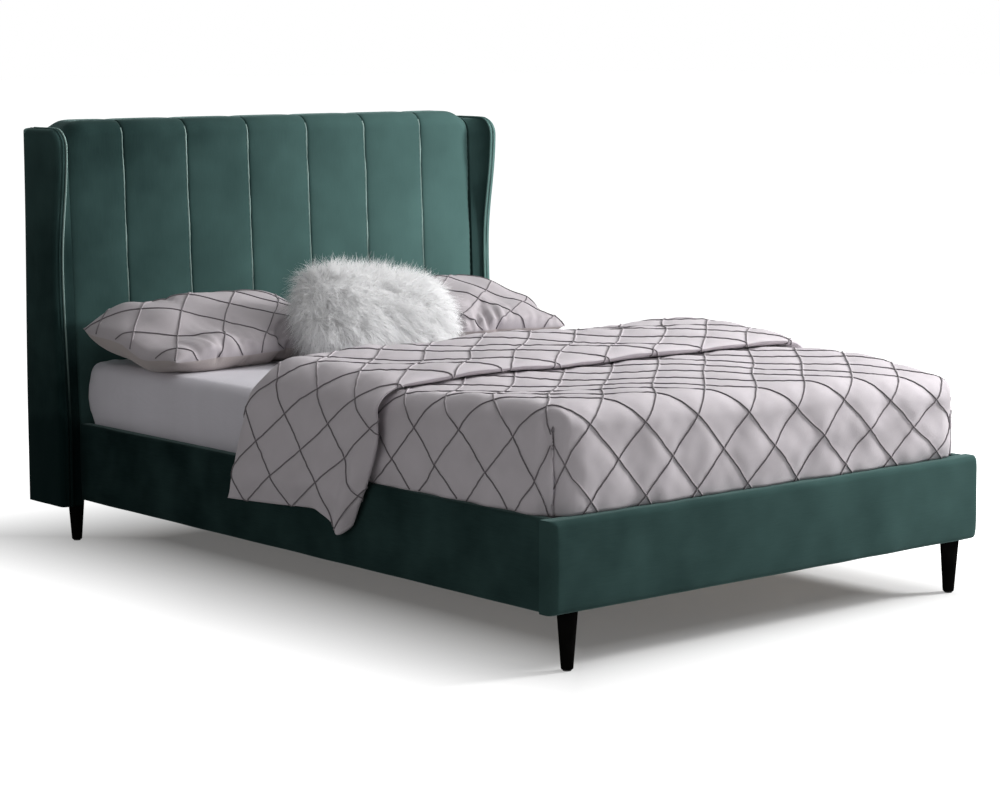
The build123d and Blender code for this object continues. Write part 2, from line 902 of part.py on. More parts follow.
def pillow_form(length, depth, thickness, seam, draw_in):
    """A stuffed case lying flat: crowned, pinched at its seam, with drawn-in sides."""
    sections = []
    tables = zip(pillow_section_shares, pillow_thickness_shares, pillow_depth_shares)
    for place, thick, deep in tables:
        half_depth = deep * depth / 2
        half_thick = seam / 2 + thick * (thickness - seam) / 2
        upper = ThreePointArc((-half_depth, seam / 2), (0, half_thick), (half_depth, seam / 2))
        lower = ThreePointArc((-half_depth, -seam / 2), (0, -half_thick), (half_depth, -seam / 2))
        outline = [upper, lower, Line(upper @ 0, lower @ 0), Line(upper @ 1, lower @ 1)]
        sections.append(Plane.YZ.offset(place * length / 2) * make_face(outline))
    form = loft(sections)
    # An arc through both corners of a short side draws that side in.
    radius = ((depth / 2) ** 2 + draw_in**2) / (2 * draw_in)
    for side in (-1, 1):
        centre = side * (length / 2 - draw_in + radius)
        form -= Pos(centre, 0, 0) * Cylinder(radius, thickness)
    return form


def above_sheet(form):
    """Cuts a soft form flat where it rests on the sheet."""
    reach = bed_length
    below = block((-reach, -reach, -reach), (reach, reach, sheet_top + soft_gap))
    return form - below


pillow_turn_angle = math.radians(pillow_turn)
pillow_plan_depth = pillow_depth * math.cos(math.radians(pillow_tilt)) * math.cos(pillow_turn_angle)
pillow_plan_half = (pillow_plan_depth + pillow_length * math.sin(pillow_turn_angle)) / 2
pillow_centre_x = pillow_length / 2 + pillow_middle_gap
pillow_centre_height = sheet_top + pillow_rise
pillow_centre_y = face_y(pillow_centre_height) - pillow_headboard_gap - pillow_plan_half


def pillow():
    """The right pillow, tilted up against the headboard."""
    form = pillow_form(pillow_length, pillow_depth, pillow_thickness, pillow_seam, pillow_draw_in)
    place = Pos(pillow_centre_x, pillow_centre_y, pillow_centre_height)
    return above_sheet(place * Rot(0, 0, -pillow_turn) * Rot(pillow_tilt, 0, 0) * form)


def fur_cushion():
    """The small cushion that leans back in front of the pillows."""
    form = pillow_form(cushion_length, cushion_depth, cushion_thickness, cushion_seam, cushion_draw_in)
    back = cushion_thickness / 2 * math.sin(math.radians(cushion_lean))
    y = pillow_centre_y - pillow_plan_half + cushion_lap - back
    turn = Rot(cushion_lean, 0, 0) * Rot(0, 0, cushion_roll)
    placed = Pos(cushion_centre_x, y, sheet_top + cushion_rise) * turn * form
    return above_sheet(placed)


def grouped(solids):
    """Several separate solids as one node."""
    return Compound(children=[s if isinstance(s, Solid) else s.solid() for s in solids])


def without(shape, tools):
    """A shape with a list of tools cut away."""
    for tool in tools:
        shape = shape - tool
    return shape


def write_headboard():
    """Writes the headboard's frame, its panel, pads and back."""
    inner = panel_half_width - post_width
    rear_x, rear_y = leg_places()[1]
    top_low = frame_top_height - top_rail_height
    middle_low = middle_rail_centre - middle_rail_height / 2
    middle_high = middle_low + middle_rail_height
    bottom_rail = headboard_member(-inner, inner, rail_bottom, rail_bottom + bottom_rail_height)
    rear_bores = [hanger_bolt_hole(rear_x, rear_y), hanger_bolt_hole(-rear_x, rear_y)]
    post = headboard_member(inner, panel_half_width, rail_bottom, frame_top_height)
    post = without(post, wing_bolt_holes())
    head_holes = bracket_bolt_holes()[3:]
    base_panel = without(headboard_base_panel(), head_holes + [mirrored(h) for h in head_holes])
    back = block(
        (-panel_half_width, headboard_frame_back, rail_bottom),
        (panel_half_width, headboard_back, frame_top_height),
    )
    save("headboard_front_board", headboard_front_board())
    save("headboard_top_rail", headboard_member(-inner, inner, top_low, frame_top_height))
    save("headboard_middle_rail", headboard_member(-inner, inner, middle_low, middle_high))
    save("headboard_bottom_rail", without(bottom_rail, rear_bores))
    save("headboard_post_right", post)
    save("headboard_post_left", mirrored(post))
    save("headboard_base_panel", base_panel)
    save("headboard_back_cover", back)
    for index in range(channel_count):
        save("channel_pad_" + str(index + 1), channel_pad(index))


def write_wings():
    """Writes both wings and their bolts."""
    batten = without(wing_batten(), wing_bolt_holes())
    pieces = {"wing_board": wing_board(), "wing_batten": batten, "wing_cover": wing_cover()}
    for name, shape in pieces.items():
        save(name + "_right", shape)
        save(name + "_left", mirrored(shape))
    bolts = wing_bolt_set()
    save("wing_bolts", grouped(bolts + [mirrored(b) for b in bolts]))


def write_rails():
    """Writes the side rails, the foot rail and their corner joints."""
    holes = bracket_bolt_holes()
    screws = [screw_form(place, 0) for place in screw_places()]
    screw_holes = [screw_form(place, hole_gap) for place in screw_places()]
    board = without(side_rail_board(), [holes[0], holes[2]] + screw_holes)
    bearer = without(slat_bearer(), screw_holes)
    cover = side_rail_cover()
    for name, shape in {"side_rail_board": board, "side_rail_cover": cover, "slat_bearer": bearer}.items():
        save(name + "_right", shape)
        save(name + "_left", mirrored(shape))
    save("bearer_screws", grouped(screws + [mirrored(s) for s in screws]))
    front_x, front_y = leg_places()[0]
    bores = [hanger_bolt_hole(front_x, front_y), hanger_bolt_hole(-front_x, front_y)]
    foot_holes = [holes[1], mirrored(holes[1])]
    save("foot_rail_board", without(foot_rail_board(), foot_holes + bores))
    save("foot_rail_cover", without(foot_rail_cover(), bores))
    brackets = [bracket(foot_board_back, False), bracket(base_panel_front, True)]
    brackets = [without(b, holes) for b in brackets]
    save("corner_brackets", grouped(brackets + [mirrored(b) for b in brackets]))
    bolts = bracket_bolt_set()
    save("corner_bolts", grouped(bolts + [mirrored(b) for b in bolts]))


def write_base():
    """Writes the slats, their holders, the centre rail and its supports."""
    right_slats = slats()
    right_caps = outer_caps()
    save("slats_right", grouped(right_slats))
    save("slats_left", grouped([mirrored(s) for s in right_slats]))
    save("slat_caps_right", grouped(right_caps))
    save("slat_caps_left", grouped([mirrored(c) for c in right_caps]))
    save("slat_caps_centre", grouped(centre_caps()))
    save("centre_rail", centre_rail())
    hangers = [centre_rail_hanger(foot_board_back, 1), centre_rail_hanger(base_panel_front, -1)]
    save("centre_rail_hangers", grouped(hangers))
    save("centre_leg_front", support_leg(-support_offset))
    save("centre_leg_rear", support_leg(support_offset))
    save("centre_leg_feet", grouped([support_foot(-support_offset), support_foot(support_offset)]))


def write_legs():
    """Writes the four legs, their glides and hanger bolts."""
    glides = []
    bolts = []
    for name, (x, y) in zip(("front", "rear"), leg_places()):
        for side, sign in (("left", -1), ("right", 1)):
            save("leg_" + name + "_" + side, leg(sign * x, y))
            glides.append(rod((sign * x, y, 0), (0, 0, 1), glide_radius, glide_height))
            bolts.append(hanger_bolt(sign * x, y))
    save("leg_glides", grouped(glides))
    save("leg_hanger_bolts", grouped(bolts))


def write_bedding():
    """Writes the mattress and what lies on it."""
    right = pillow()
    save("mattress", mattress_form(0))
    save("fitted_sheet", fitted_sheet())
    save("duvet", duvet())
    save("pillow_right", right)
    save("pillow_left", mirrored(right))
    save("fur_cushion", fur_cushion())


write_headboard()
write_wings()
write_rails()
write_base()
write_legs()
write_bedding()
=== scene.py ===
import json
import logging
import math
from dataclasses import dataclass
from enum import Enum
from functools import partial
from typing import Callable, ClassVar, Optional, Sequence

import bpy
import numpy as np
from mathutils import Euler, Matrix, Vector


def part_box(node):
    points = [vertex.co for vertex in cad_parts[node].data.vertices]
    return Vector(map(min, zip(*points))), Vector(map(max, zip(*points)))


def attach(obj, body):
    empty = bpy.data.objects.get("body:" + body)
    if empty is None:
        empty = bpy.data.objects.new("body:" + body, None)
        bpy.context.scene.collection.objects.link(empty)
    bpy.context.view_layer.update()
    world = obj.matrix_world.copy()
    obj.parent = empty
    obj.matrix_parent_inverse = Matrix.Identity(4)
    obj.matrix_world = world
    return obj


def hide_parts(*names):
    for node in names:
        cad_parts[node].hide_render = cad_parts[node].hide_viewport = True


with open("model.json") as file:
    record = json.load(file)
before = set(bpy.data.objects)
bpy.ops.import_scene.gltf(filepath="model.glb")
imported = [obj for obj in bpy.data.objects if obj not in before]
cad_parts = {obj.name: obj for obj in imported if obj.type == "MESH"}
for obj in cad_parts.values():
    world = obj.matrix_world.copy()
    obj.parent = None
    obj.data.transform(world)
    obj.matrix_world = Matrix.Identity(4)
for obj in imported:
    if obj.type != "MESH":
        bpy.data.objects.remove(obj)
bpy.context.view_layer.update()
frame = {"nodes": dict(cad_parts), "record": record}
log = logging.getLogger("wingback_bed")

Array = np.ndarray
Material = bpy.types.Material
Socket = bpy.types.NodeSocket
Pair = tuple[float, float]
Triple = tuple[float, float, float]
Colour = Triple
QUARTER = math.pi / 2


# Numbers along a line


def smooth_step(values: Array) -> Array:
    """A soft step from 0 to 1 for values from 0 to 1."""
    x = np.clip(values, 0.0, 1.0)
    return x * x * (3 - 2 * x)


def bell(values: Array, centre: float, width: float) -> Array:
    """A bump of height 1 about a centre."""
    return np.exp(-(((values - centre) / width) ** 2))


def span(low: float, high: float, spacing: float) -> Array:
    """Even steps from low to high, no wider than a spacing."""
    return np.linspace(low, high, max(2, int(math.ceil(abs(high - low) / spacing)) + 1))


@dataclass(frozen=True)
class SoftNoise:
    """Smooth seeded noise, the sum of cosine waves in random directions."""

    seed: int
    scale: float
    amount: float = 1.0
    waves: int = 14

    def __call__(self, *coordinates: Array) -> Array:
        """The noise at points, mostly within twice its amount. The scale is its usual wavelength."""
        points = np.stack(np.broadcast_arrays(*coordinates), axis=-1)
        draws = np.random.default_rng(self.seed)
        heading = draws.normal(size=(self.waves, points.shape[-1]))
        heading /= np.linalg.norm(heading, axis=1, keepdims=True)
        rates = heading * (2 * math.pi / self.scale) * draws.uniform(0.55, 1.45, (self.waves, 1))
        phases = draws.uniform(0, 2 * math.pi, self.waves)
        return np.cos(points @ rates.T + phases).sum(-1) * math.sqrt(2 / self.waves) * self.amount


def summed(noises: Sequence[SoftNoise], *coordinates: Array) -> Array:
    """Several noises added at the same points."""
    return sum(noise(*coordinates) for noise in noises)


# Meshes


def unit(vectors: Array) -> Array:
    """Vectors scaled to length 1."""
    return vectors / np.maximum(np.linalg.norm(vectors, axis=-1, keepdims=True), 1e-9)


def grid_normals(points: Array) -> Array:
    """The normal at each point of a grid of rows and columns."""
    return unit(np.cross(np.gradient(points, axis=0), np.gradient(points, axis=1)))


def skin_normals(skin: Callable, s: Array, t: Array, step: float) -> Array:
    """The normals of a skin that gives points for distances across and along."""
    across = skin(s + step, t) - skin(s - step, t)
    along = skin(s, t + step) - skin(s, t - step)
    return unit(np.cross(across, along))


def arc(centre: Sequence[float], radius: float, start: float, end: float, count: int) -> Array:
    """Points by 2 on an arc round a centre, from one angle to another."""
    turn = np.linspace(start, end, count)
    return np.asarray(centre) + radius * np.stack([np.cos(turn), np.sin(turn)], -1)


def between(grid: Array, rows: Array, columns: Array, *layer: Array) -> Array:
    """Values of a grid, or of a layer of grids, between its rows and columns.

    Args:
        grid: The values by row and column.
        rows: Places along the rows' axis, with broken parts.
        columns: Places along the columns' axis, with broken parts.
        layer: Which grid, where there are several.

    Returns:
        The values.
    """
    r, c = rows.astype(int), columns.astype(int)
    fr, fc = (rows - r)[..., None], (columns - c)[..., None]
    first = grid[(*layer, r, c)] * (1 - fc) + grid[(*layer, r, c + 1)] * fc
    second = grid[(*layer, r + 1, c)] * (1 - fc) + grid[(*layer, r + 1, c + 1)] * fc
    return first * (1 - fr) + second * fr


def side_name(side: int) -> str:
    """Left for the side below zero and right for the other."""
    return "left" if side < 0 else "right"


def quads(index: Array) -> Array:
    """The faces of a grid of point indices."""
    corners = [index[:-1, :-1], index[:-1, 1:], index[1:, 1:], index[1:, :-1]]
    return np.stack(corners, -1).reshape(-1, 4)


def lower_index(rows: int, columns: int) -> Array:
    """Point indices of a lower layer that shares its border with the upper one and follows it."""
    index = np.arange(rows * columns).reshape(rows, columns)
    inner = np.arange((rows - 2) * (columns - 2)) + rows * columns
    index[1:-1, 1:-1] = inner.reshape(rows - 2, columns - 2)
    return index


class MeshMaker:
    """Collects grids, caps, tubes and blades, and makes one object of them."""

    def __init__(self) -> None:
        """Starts empty."""
        self.points: list[Array] = []
        self.maps: list[Array] = []
        self.faces: list[list[int]] = []
        self.slots: list[int] = []
        self.count = 0

    def add_points(self, points: Array, cloth: Optional[Array] = None) -> int:
        """Adds points and returns the index of the first."""
        flat = np.asarray(points, float).reshape(-1, 3)
        self.points.append(flat)
        self.maps.append(flat[:, :2] if cloth is None else np.asarray(cloth, float).reshape(-1, 2))
        first = self.count
        self.count += len(flat)
        return first

    def add_faces(self, faces: Array, slot: int = 0) -> None:
        """Adds faces, given as rows of point indices."""
        self.faces.extend(faces.tolist())
        self.slots.extend([slot] * len(faces))

    def grid(
        self,
        points: Array,
        ring: bool = False,
        flip: bool = False,
        slot: int = 0,
        cloth: Optional[Array] = None,
        caps: bool = False,
    ) -> int:
        """Joins a grid of points with quads.

        Args:
            points: Rows by columns by 3.
            ring: Whether the last column meets the first.
            flip: Whether the faces look the other way.
            slot: The material slot of the faces.
            cloth: Rows by columns by 2, the place of each point in the flat cloth.
            caps: Whether the first and last rows are closed with one face each.

        Returns:
            The index of the grid's first point.
        """
        rows, columns = points.shape[:2]
        first = self.add_points(points, cloth)
        index = first + np.arange(rows * columns).reshape(rows, columns)
        faces = quads(np.column_stack([index, index[:, 0]]) if ring else index)
        self.add_faces(faces[:, ::-1] if flip else faces, slot)
        if caps:
            ends = [index[0], index[-1, ::-1]] if flip else [index[0, ::-1], index[-1]]
            self.add_faces(np.stack(ends), slot)
        return first

    def sandwich(self, upper: Array, lower: Array, cloth: Array) -> None:
        """Joins two grids that share their outermost points into one closed skin.

        Args:
            upper: Rows by columns by 3.
            lower: The same shape, with the same border.
            cloth: Rows by columns by 2, the place of each point in the flat cloth.
        """
        index = self.grid(upper, cloth=cloth) + lower_index(*upper.shape[:2])
        self.add_points(lower[1:-1, 1:-1], cloth[1:-1, 1:-1])
        self.add_faces(np.roll(quads(index)[:, ::-1], 1, axis=1))

    def ribbon_tube(
        self, path: Array, normals: Array, radius: Array, sides: int = 6, slot: int = 0
    ) -> None:
        """Adds a thin closed tube along a path that lies on a surface.

        Args:
            path: The centre line, points by 3.
            normals: The surface's normal at each point.
            radius: The radius at each point.
            sides: How many sides the tube has.
            slot: The material slot of the faces.
        """
        along = unit(np.gradient(path, axis=0))
        across = unit(np.cross(along, normals))
        up = np.cross(across, along)
        turn = np.linspace(0, 2 * math.pi, sides, endpoint=False)
        reach = np.asarray(radius, float).reshape(-1, 1, 1)
        ring = np.cos(turn)[None, :, None] * across[:, None] + np.sin(turn)[None, :, None] * up[:, None]
        self.grid(path[:, None] + reach * ring, ring=True, slot=slot, caps=True)

    def build(self, name: str, materials: Sequence[Material]) -> bpy.types.Object:
        """Makes the object.

        Args:
            name: The piece's name.
            materials: The materials of its slots.

        Returns:
            The new object, smooth shaded, with its cloth map.
        """
        mesh = bpy.data.meshes.new(name)
        mesh.from_pydata(np.vstack(self.points).tolist(), [], self.faces)
        for material in materials:
            mesh.materials.append(material)
        mesh.polygons.foreach_set("material_index", np.array(self.slots, np.int32))
        mesh.polygons.foreach_set("use_smooth", np.ones(len(mesh.polygons), bool))
        corners = np.empty(len(mesh.loops), np.int32)
        mesh.loops.foreach_get("vertex_index", corners)
        layer = mesh.uv_layers.new(name="cloth")
        layer.data.foreach_set("uv", np.vstack(self.maps)[corners].astype(np.float32).ravel())
        mesh.update()
        piece = bpy.data.objects.new(name, mesh)
        bpy.context.scene.collection.objects.link(piece)
        return piece


def sharpen(piece: bpy.types.Object, angle: float = 50.0) -> bpy.types.Object:
    """Shades edges that turn by more than an angle in degrees as sharp ones."""
    bpy.context.view_layer.objects.active = piece
    with bpy.context.temp_override(active_object=piece, object=piece, selected_editable_objects=[piece]):
        bpy.ops.object.shade_smooth_by_angle(angle=math.radians(angle))
    return piece


# Shader node groups


class Nodes:
    """Adds nodes to a shader tree and links them."""

    def __init__(self, tree: bpy.types.NodeTree) -> None:
        """Keeps the tree."""
        self.tree = tree
        self.column = 0

    def add(self, kind: str, **settings: object) -> bpy.types.Node:
        """Adds a node of a kind and sets its properties."""
        node = self.tree.nodes.new(kind)
        node.location = (self.column * 180, -(self.column % 4) * 160)
        self.column += 1
        for key, value in settings.items():
            setattr(node, key, value)
        return node

    def feed(self, socket: Socket, value: object) -> None:
        """Links a socket to another one, or sets its value."""
        if isinstance(value, Socket):
            self.tree.links.new(value, socket)
        elif isinstance(value, tuple) and len(value) == 3 and socket.type == "RGBA":
            socket.default_value = (*value, 1.0)
        else:
            socket.default_value = value

    def value(
        self, kind: str, inputs: dict, output: int | str = 0, **settings: object
    ) -> Socket:
        """One output of a new node.

        Args:
            kind: The node's type.
            inputs: Values or sockets for its inputs, by name or number.
            output: The output's name or number.
            settings: The node's properties.

        Returns:
            The output.
        """
        node = self.add(kind, **settings)
        for key, entry in inputs.items():
            self.feed(node.inputs[key], entry)
        return node.outputs[output]

    def math(self, operation: str, *values: object) -> Socket:
        """A Math node's result."""
        return self.value("ShaderNodeMath", dict(enumerate(values)), operation=operation)

    def weighed(self, share: float, first: object, second: object) -> Socket:
        """The sum of two values, weighed by a share and its rest."""
        return self.math("ADD", self.math("MULTIPLY", first, share), self.math("MULTIPLY", second, 1 - share))

    def place(self, space: str = "Object") -> Socket:
        """The texture coordinate in the object's own space, or in its cloth map for UV."""
        return self.value("ShaderNodeTexCoord", {}, space)

    def scaled(self, vector: object, factors: object) -> Socket:
        """A vector multiplied by another."""
        return self.value("ShaderNodeVectorMath", {0: vector, 1: factors}, operation="MULTIPLY")

    def noise(self, vector: object, scale: object, detail: float = 2.0) -> Socket:
        """A noise texture's value."""
        return self.value("ShaderNodeTexNoise", {"Vector": vector, "Scale": scale, "Detail": detail}, "Fac")

    def bands(
        self, vector: object, scale: object, distortion: object, direction: str, detail: float = 2.0
    ) -> Socket:
        """The value of a wave texture of bands."""
        inputs = {"Vector": vector, "Scale": scale, "Distortion": distortion, "Detail": detail}
        return self.value("ShaderNodeTexWave", inputs, "Fac", wave_type="BANDS", bands_direction=direction)

    def ranged(
        self, value: object, low: float, high: float, to_low: float, to_high: float
    ) -> Socket:
        """A value moved from one range to another, and clamped."""
        inputs = {"Value": value, "From Min": low, "From Max": high, "To Min": to_low, "To Max": to_high}
        return self.value("ShaderNodeMapRange", inputs, "Result")

    def mixed(self, share: object, first: object, second: object) -> Socket:
        """Two colours mixed by a share."""
        return self.value("ShaderNodeMix", {0: share, 6: first, 7: second}, 2, data_type="RGBA")

    def bump(self, height: object, strength: float, distance: object) -> Socket:
        """The normal of a Bump node."""
        inputs = {"Height": height, "Strength": strength, "Distance": distance}
        return self.value("ShaderNodeBump", inputs, "Normal")


class GroupKind(Enum):
    """The shader node groups that the finishes share."""

    NAP = "velvet nap"
    WEAVE = "plain weave"
    GRAIN = "wood grain"
    SCUFF = "handling scuffs"


INPUTS = {
    # The velvet's colour mix carries painted light and shade: it runs from the shaded to the lit colour along
    # a slope through the object.
    GroupKind.NAP: (
        ("Color", ("Upright Color", "Brushed Color")),
        ("Vector", ("Stretch", "Lie")),
        ("Float", ("Streak Scale", "Pile Depth", "Lie Offset")),
    ),
    GroupKind.WEAVE: (
        ("Color", ("Thread Color", "Shade Color")),
        ("Vector", ("Cloth",)),
        ("Float", ("Thread Scale", "Slub")),
    ),
    GroupKind.GRAIN: (
        ("Color", ("Early Color", "Late Color")),
        ("Vector", ("Stretch",)),
        ("Float", ("Ring Scale", "Pore Depth")),
    ),
    GroupKind.SCUFF: (
        ("Color", ("Clean Color", "Scuffed Color")),
        ("Float", ("Scuff Scale", "Amount", "Texture Depth")),
    ),
}


OUTPUTS = (
    ("Color", "Color", "Base Color"),
    ("Roughness", "Float", "Roughness"),
    ("Normal", "Vector", "Normal"),
)


class GroupShelf:
    """Builds each shader node group once and hands it to the materials."""

    def __init__(self) -> None:
        """Starts with no group built."""
        self.built: dict[GroupKind, bpy.types.NodeTree] = {}

    def get(self, kind: GroupKind) -> bpy.types.NodeTree:
        """The node group of a kind, built on first use.

        Args:
            kind: Which group.

        Returns:
            The group.
        """
        if kind not in self.built:
            tree = bpy.data.node_groups.new(kind.value, "ShaderNodeTree")
            for sort, names in INPUTS[kind]:
                for name in names:
                    tree.interface.new_socket(name, in_out="INPUT", socket_type=f"NodeSocket{sort}")
            for name, sort, _ in OUTPUTS:
                tree.interface.new_socket(name, in_out="OUTPUT", socket_type=f"NodeSocket{sort}")
            nodes = Nodes(tree)
            body = {
                GroupKind.NAP: self.nap,
                GroupKind.WEAVE: self.weave,
                GroupKind.GRAIN: self.grain,
                GroupKind.SCUFF: self.scuff,
            }[kind]
            results = body(nodes, nodes.add("NodeGroupInput").outputs)
            for socket, value in zip(nodes.add("NodeGroupOutput").inputs, results):
                nodes.feed(socket, value)
            self.built[kind] = tree
        return self.built[kind]

    @staticmethod
    def nap(nodes: Nodes, source: bpy.types.NodeOutputs) -> tuple:
        """Velvet: long streaks of brushed pile, soft smudges, fine grain, and painted light and shade that
        change along a slope across the piece.

        Args:
            nodes: Adds the nodes.
            source: The group's inputs.

        Returns:
            The colour, the roughness and the normal.
        """
        place = nodes.place()
        streak = nodes.noise(nodes.scaled(place, source["Stretch"]), source["Streak Scale"], 3.0)
        smudge = nodes.noise(place, 7.0)
        pile = nodes.noise(place, 900.0, 1.0)
        uneven = nodes.ranged(nodes.weighed(0.2, streak, smudge), 0.3, 0.7, -0.11, 0.11)
        # Painted light and shade: a slope through the object's space plus an offset sets how far each place
        # is mixed towards the lit colour.
        inputs = {0: place, 1: source["Lie"]}
        lie = nodes.value("ShaderNodeVectorMath", inputs, "Value", operation="DOT_PRODUCT")
        lean = nodes.math("ADD", lie, source["Lie Offset"])
        share = nodes.ranged(nodes.math("ADD", lean, uneven), 0.0, 1.0, 0.0, 1.0)
        colour = nodes.mixed(share, source["Upright Color"], source["Brushed Color"])
        roughness = nodes.ranged(streak, 0.3, 0.7, 0.62, 0.86)
        return colour, roughness, nodes.bump(nodes.weighed(0.45, streak, pile), 0.4, source["Pile Depth"])

    @staticmethod
    def weave(nodes: Nodes, source: bpy.types.NodeOutputs) -> tuple:
        """Cloth: warp and weft threads with slubs and a soft uneven tone.

        Args:
            nodes: Adds the nodes.
            source: The group's inputs.

        Returns:
            The colour, the roughness and the normal.
        """
        cloth = source["Cloth"]
        warp, weft = [nodes.bands(cloth, source["Thread Scale"], source["Slub"], way) for way in "XY"]
        crossing = nodes.math("MULTIPLY", warp, weft)
        slub = nodes.noise(cloth, 240.0)
        tone = nodes.ranged(nodes.noise(cloth, 9.0, 3.0), 0.35, 0.7, 0.0, 0.45)
        share = nodes.math("ADD", nodes.math("MULTIPLY", crossing, 0.35), tone)
        colour = nodes.mixed(share, source["Thread Color"], source["Shade Color"])
        roughness = nodes.ranged(slub, 0.3, 0.7, 0.72, 0.9)
        return colour, roughness, nodes.bump(nodes.weighed(0.6, crossing, slub), 0.35, 0.0004)

    @staticmethod
    def grain(nodes: Nodes, source: bpy.types.NodeOutputs) -> tuple:
        """Wood: rings drawn out along the grain, with pores.

        Args:
            nodes: Adds the nodes.
            source: The group's inputs.

        Returns:
            The colour, the roughness and the normal.
        """
        along = nodes.scaled(nodes.place(), source["Stretch"])
        rings = nodes.bands(along, source["Ring Scale"], 6.0, "DIAGONAL")
        pores = nodes.noise(along, 220.0)
        share = nodes.weighed(0.6, rings, nodes.noise(along, 3.0, 3.0))
        colour = nodes.mixed(share, source["Early Color"], source["Late Color"])
        roughness = nodes.ranged(pores, 0.3, 0.7, 0.45, 0.65)
        return colour, roughness, nodes.bump(pores, 0.3, source["Pore Depth"])

    @staticmethod
    def scuff(nodes: Nodes, source: bpy.types.NodeOutputs) -> tuple:
        """Handling: cloudy wear, fine scratches and a moulded or sprayed texture.

        Args:
            nodes: Adds the nodes.
            source: The group's inputs.

        Returns:
            The colour, the roughness and the normal.
        """
        place = nodes.place()
        cloud = nodes.noise(place, source["Scuff Scale"], 4.0)
        scratch = nodes.noise(nodes.scaled(place, (60.0, 60.0, 900.0)), 1.0)
        fine = nodes.noise(place, 1400.0, 1.0)
        worn = nodes.math("MULTIPLY", nodes.ranged(cloud, 0.45, 0.75, 0.0, 1.0), source["Amount"])
        colour = nodes.mixed(worn, source["Clean Color"], source["Scuffed Color"])
        roughness = nodes.ranged(nodes.weighed(0.5, scratch, cloud), 0.3, 0.7, 0.28, 0.5)
        return colour, roughness, nodes.bump(fine, 0.25, source["Texture Depth"])


SHELF = GroupShelf()


# Finishes


@dataclass(frozen=True)
class Finish:
    """A finish. Each field feeds the socket of its name in the node group or on the shader."""

    kind: ClassVar[GroupKind]
    name: str

    def material(self) -> Material:
        """Builds a material of one Principled shader fed by the finish's node group."""
        material = bpy.data.materials.new(self.name)
        material.use_nodes = True
        nodes = Nodes(material.node_tree)
        shader = material.node_tree.nodes["Principled BSDF"]
        group = nodes.add("ShaderNodeGroup", node_tree=SHELF.get(self.kind))
        for socket in (*group.inputs, *shader.inputs):
            field = socket.name.lower().replace(" ", "_")
            if hasattr(self, field):
                nodes.feed(socket, getattr(self, field))
        if self.kind is GroupKind.WEAVE:
            nodes.feed(group.inputs["Cloth"], nodes.place("UV"))
        for name, _, target in OUTPUTS:
            nodes.feed(shader.inputs[target], group.outputs[name])
        return material


@dataclass(frozen=True)
class VelvetFinish(Finish):
    """Short upright pile that brightens at grazing angles and keeps brush marks, its colour lit and shaded by
    painted light along a slope.
    """

    kind: ClassVar[GroupKind] = GroupKind.NAP
    stretch: Triple
    # These fields paint light and shade: the colour runs from the shaded to the lit one along a slope through
    # the object's space.
    lie: Triple = (0.0, 0.0, 0.0)
    lie_offset: float = 0.4
    upright_color: Colour = (0.0048, 0.0130, 0.0128)
    brushed_color: Colour = (0.0780, 0.1500, 0.1410)
    streak_scale: float = 42.0
    pile_depth: float = 0.0007
    sheen_weight: float = 0.42
    sheen_roughness: float = 0.33
    sheen_tint: Colour = (0.62, 0.88, 0.84)
    specular_ior_level: float = 0.0


@dataclass(frozen=True)
class CottonFinish(Finish):
    """Woven cotton."""

    kind: ClassVar[GroupKind] = GroupKind.WEAVE
    thread_color: Colour
    shade_color: Colour
    thread_scale: float = 420.0
    slub: float = 1.5
    sheen_weight: float = 0.12
    sheen_roughness: float = 0.5
    specular_ior_level: float = 0.25


@dataclass(frozen=True)
class WoodFinish(Finish):
    """Planed or peeled timber, bare or under a thin clear coat."""

    kind: ClassVar[GroupKind] = GroupKind.GRAIN
    early_color: Colour
    late_color: Colour
    stretch: Triple
    ring_scale: float = 9.0
    coat_weight: float = 0.0
    pore_depth: float = 0.0003


@dataclass(frozen=True)
class HardFinish(Finish):
    """Lacquer, plastic, powder coat or plated steel."""

    kind: ClassVar[GroupKind] = GroupKind.SCUFF
    clean_color: Colour
    scuffed_color: Colour
    scuff_scale: float = 30.0
    amount: float = 0.5
    texture_depth: float = 0.0002
    metallic: float = 0.0
    coat_weight: float = 0.0
    coat_roughness: float = 0.25
    specular_ior_level: float = 0.5


@dataclass(frozen=True)
class PileFinish(CottonFinish):
    """Long white pile, lit through at its tips."""

    thread_color: Colour = (0.97, 0.97, 0.975)
    shade_color: Colour = (0.93, 0.93, 0.935)
    thread_scale: float = 60.0
    slub: float = 2.0
    sheen_weight: float = 0.4
    sheen_roughness: float = 0.4
    specular_ior_level: float = 0.3
    through: float = 0.35

    def material(self) -> Material:
        """Builds the material and mixes in the light that comes through the strands."""
        material = super().material()
        tree = material.node_tree
        nodes = Nodes(tree)
        glow = nodes.value("ShaderNodeBsdfTranslucent", {"Color": (*self.thread_color, 1.0)})
        shader = tree.nodes["Principled BSDF"].outputs[0]
        both = nodes.value("ShaderNodeMixShader", {0: self.through, 1: shader, 2: glow})
        nodes.feed(tree.nodes["Material Output"].inputs["Surface"], both)
        return material


class Slot(Enum):
    """The record's material slots."""

    VELVET = "velvet"
    TICKING = "mattress_ticking"
    SHEET = "sheet_cotton"
    PINTUCK = "pintuck_cotton"
    FUR = "white_fur"
    LACQUER = "black_lacquer"
    BIRCH = "birch_slat"
    PLASTIC = "black_plastic"
    ZINC = "zinc_steel"
    STEEL = "black_steel"
    PINE = "pine_and_ply"


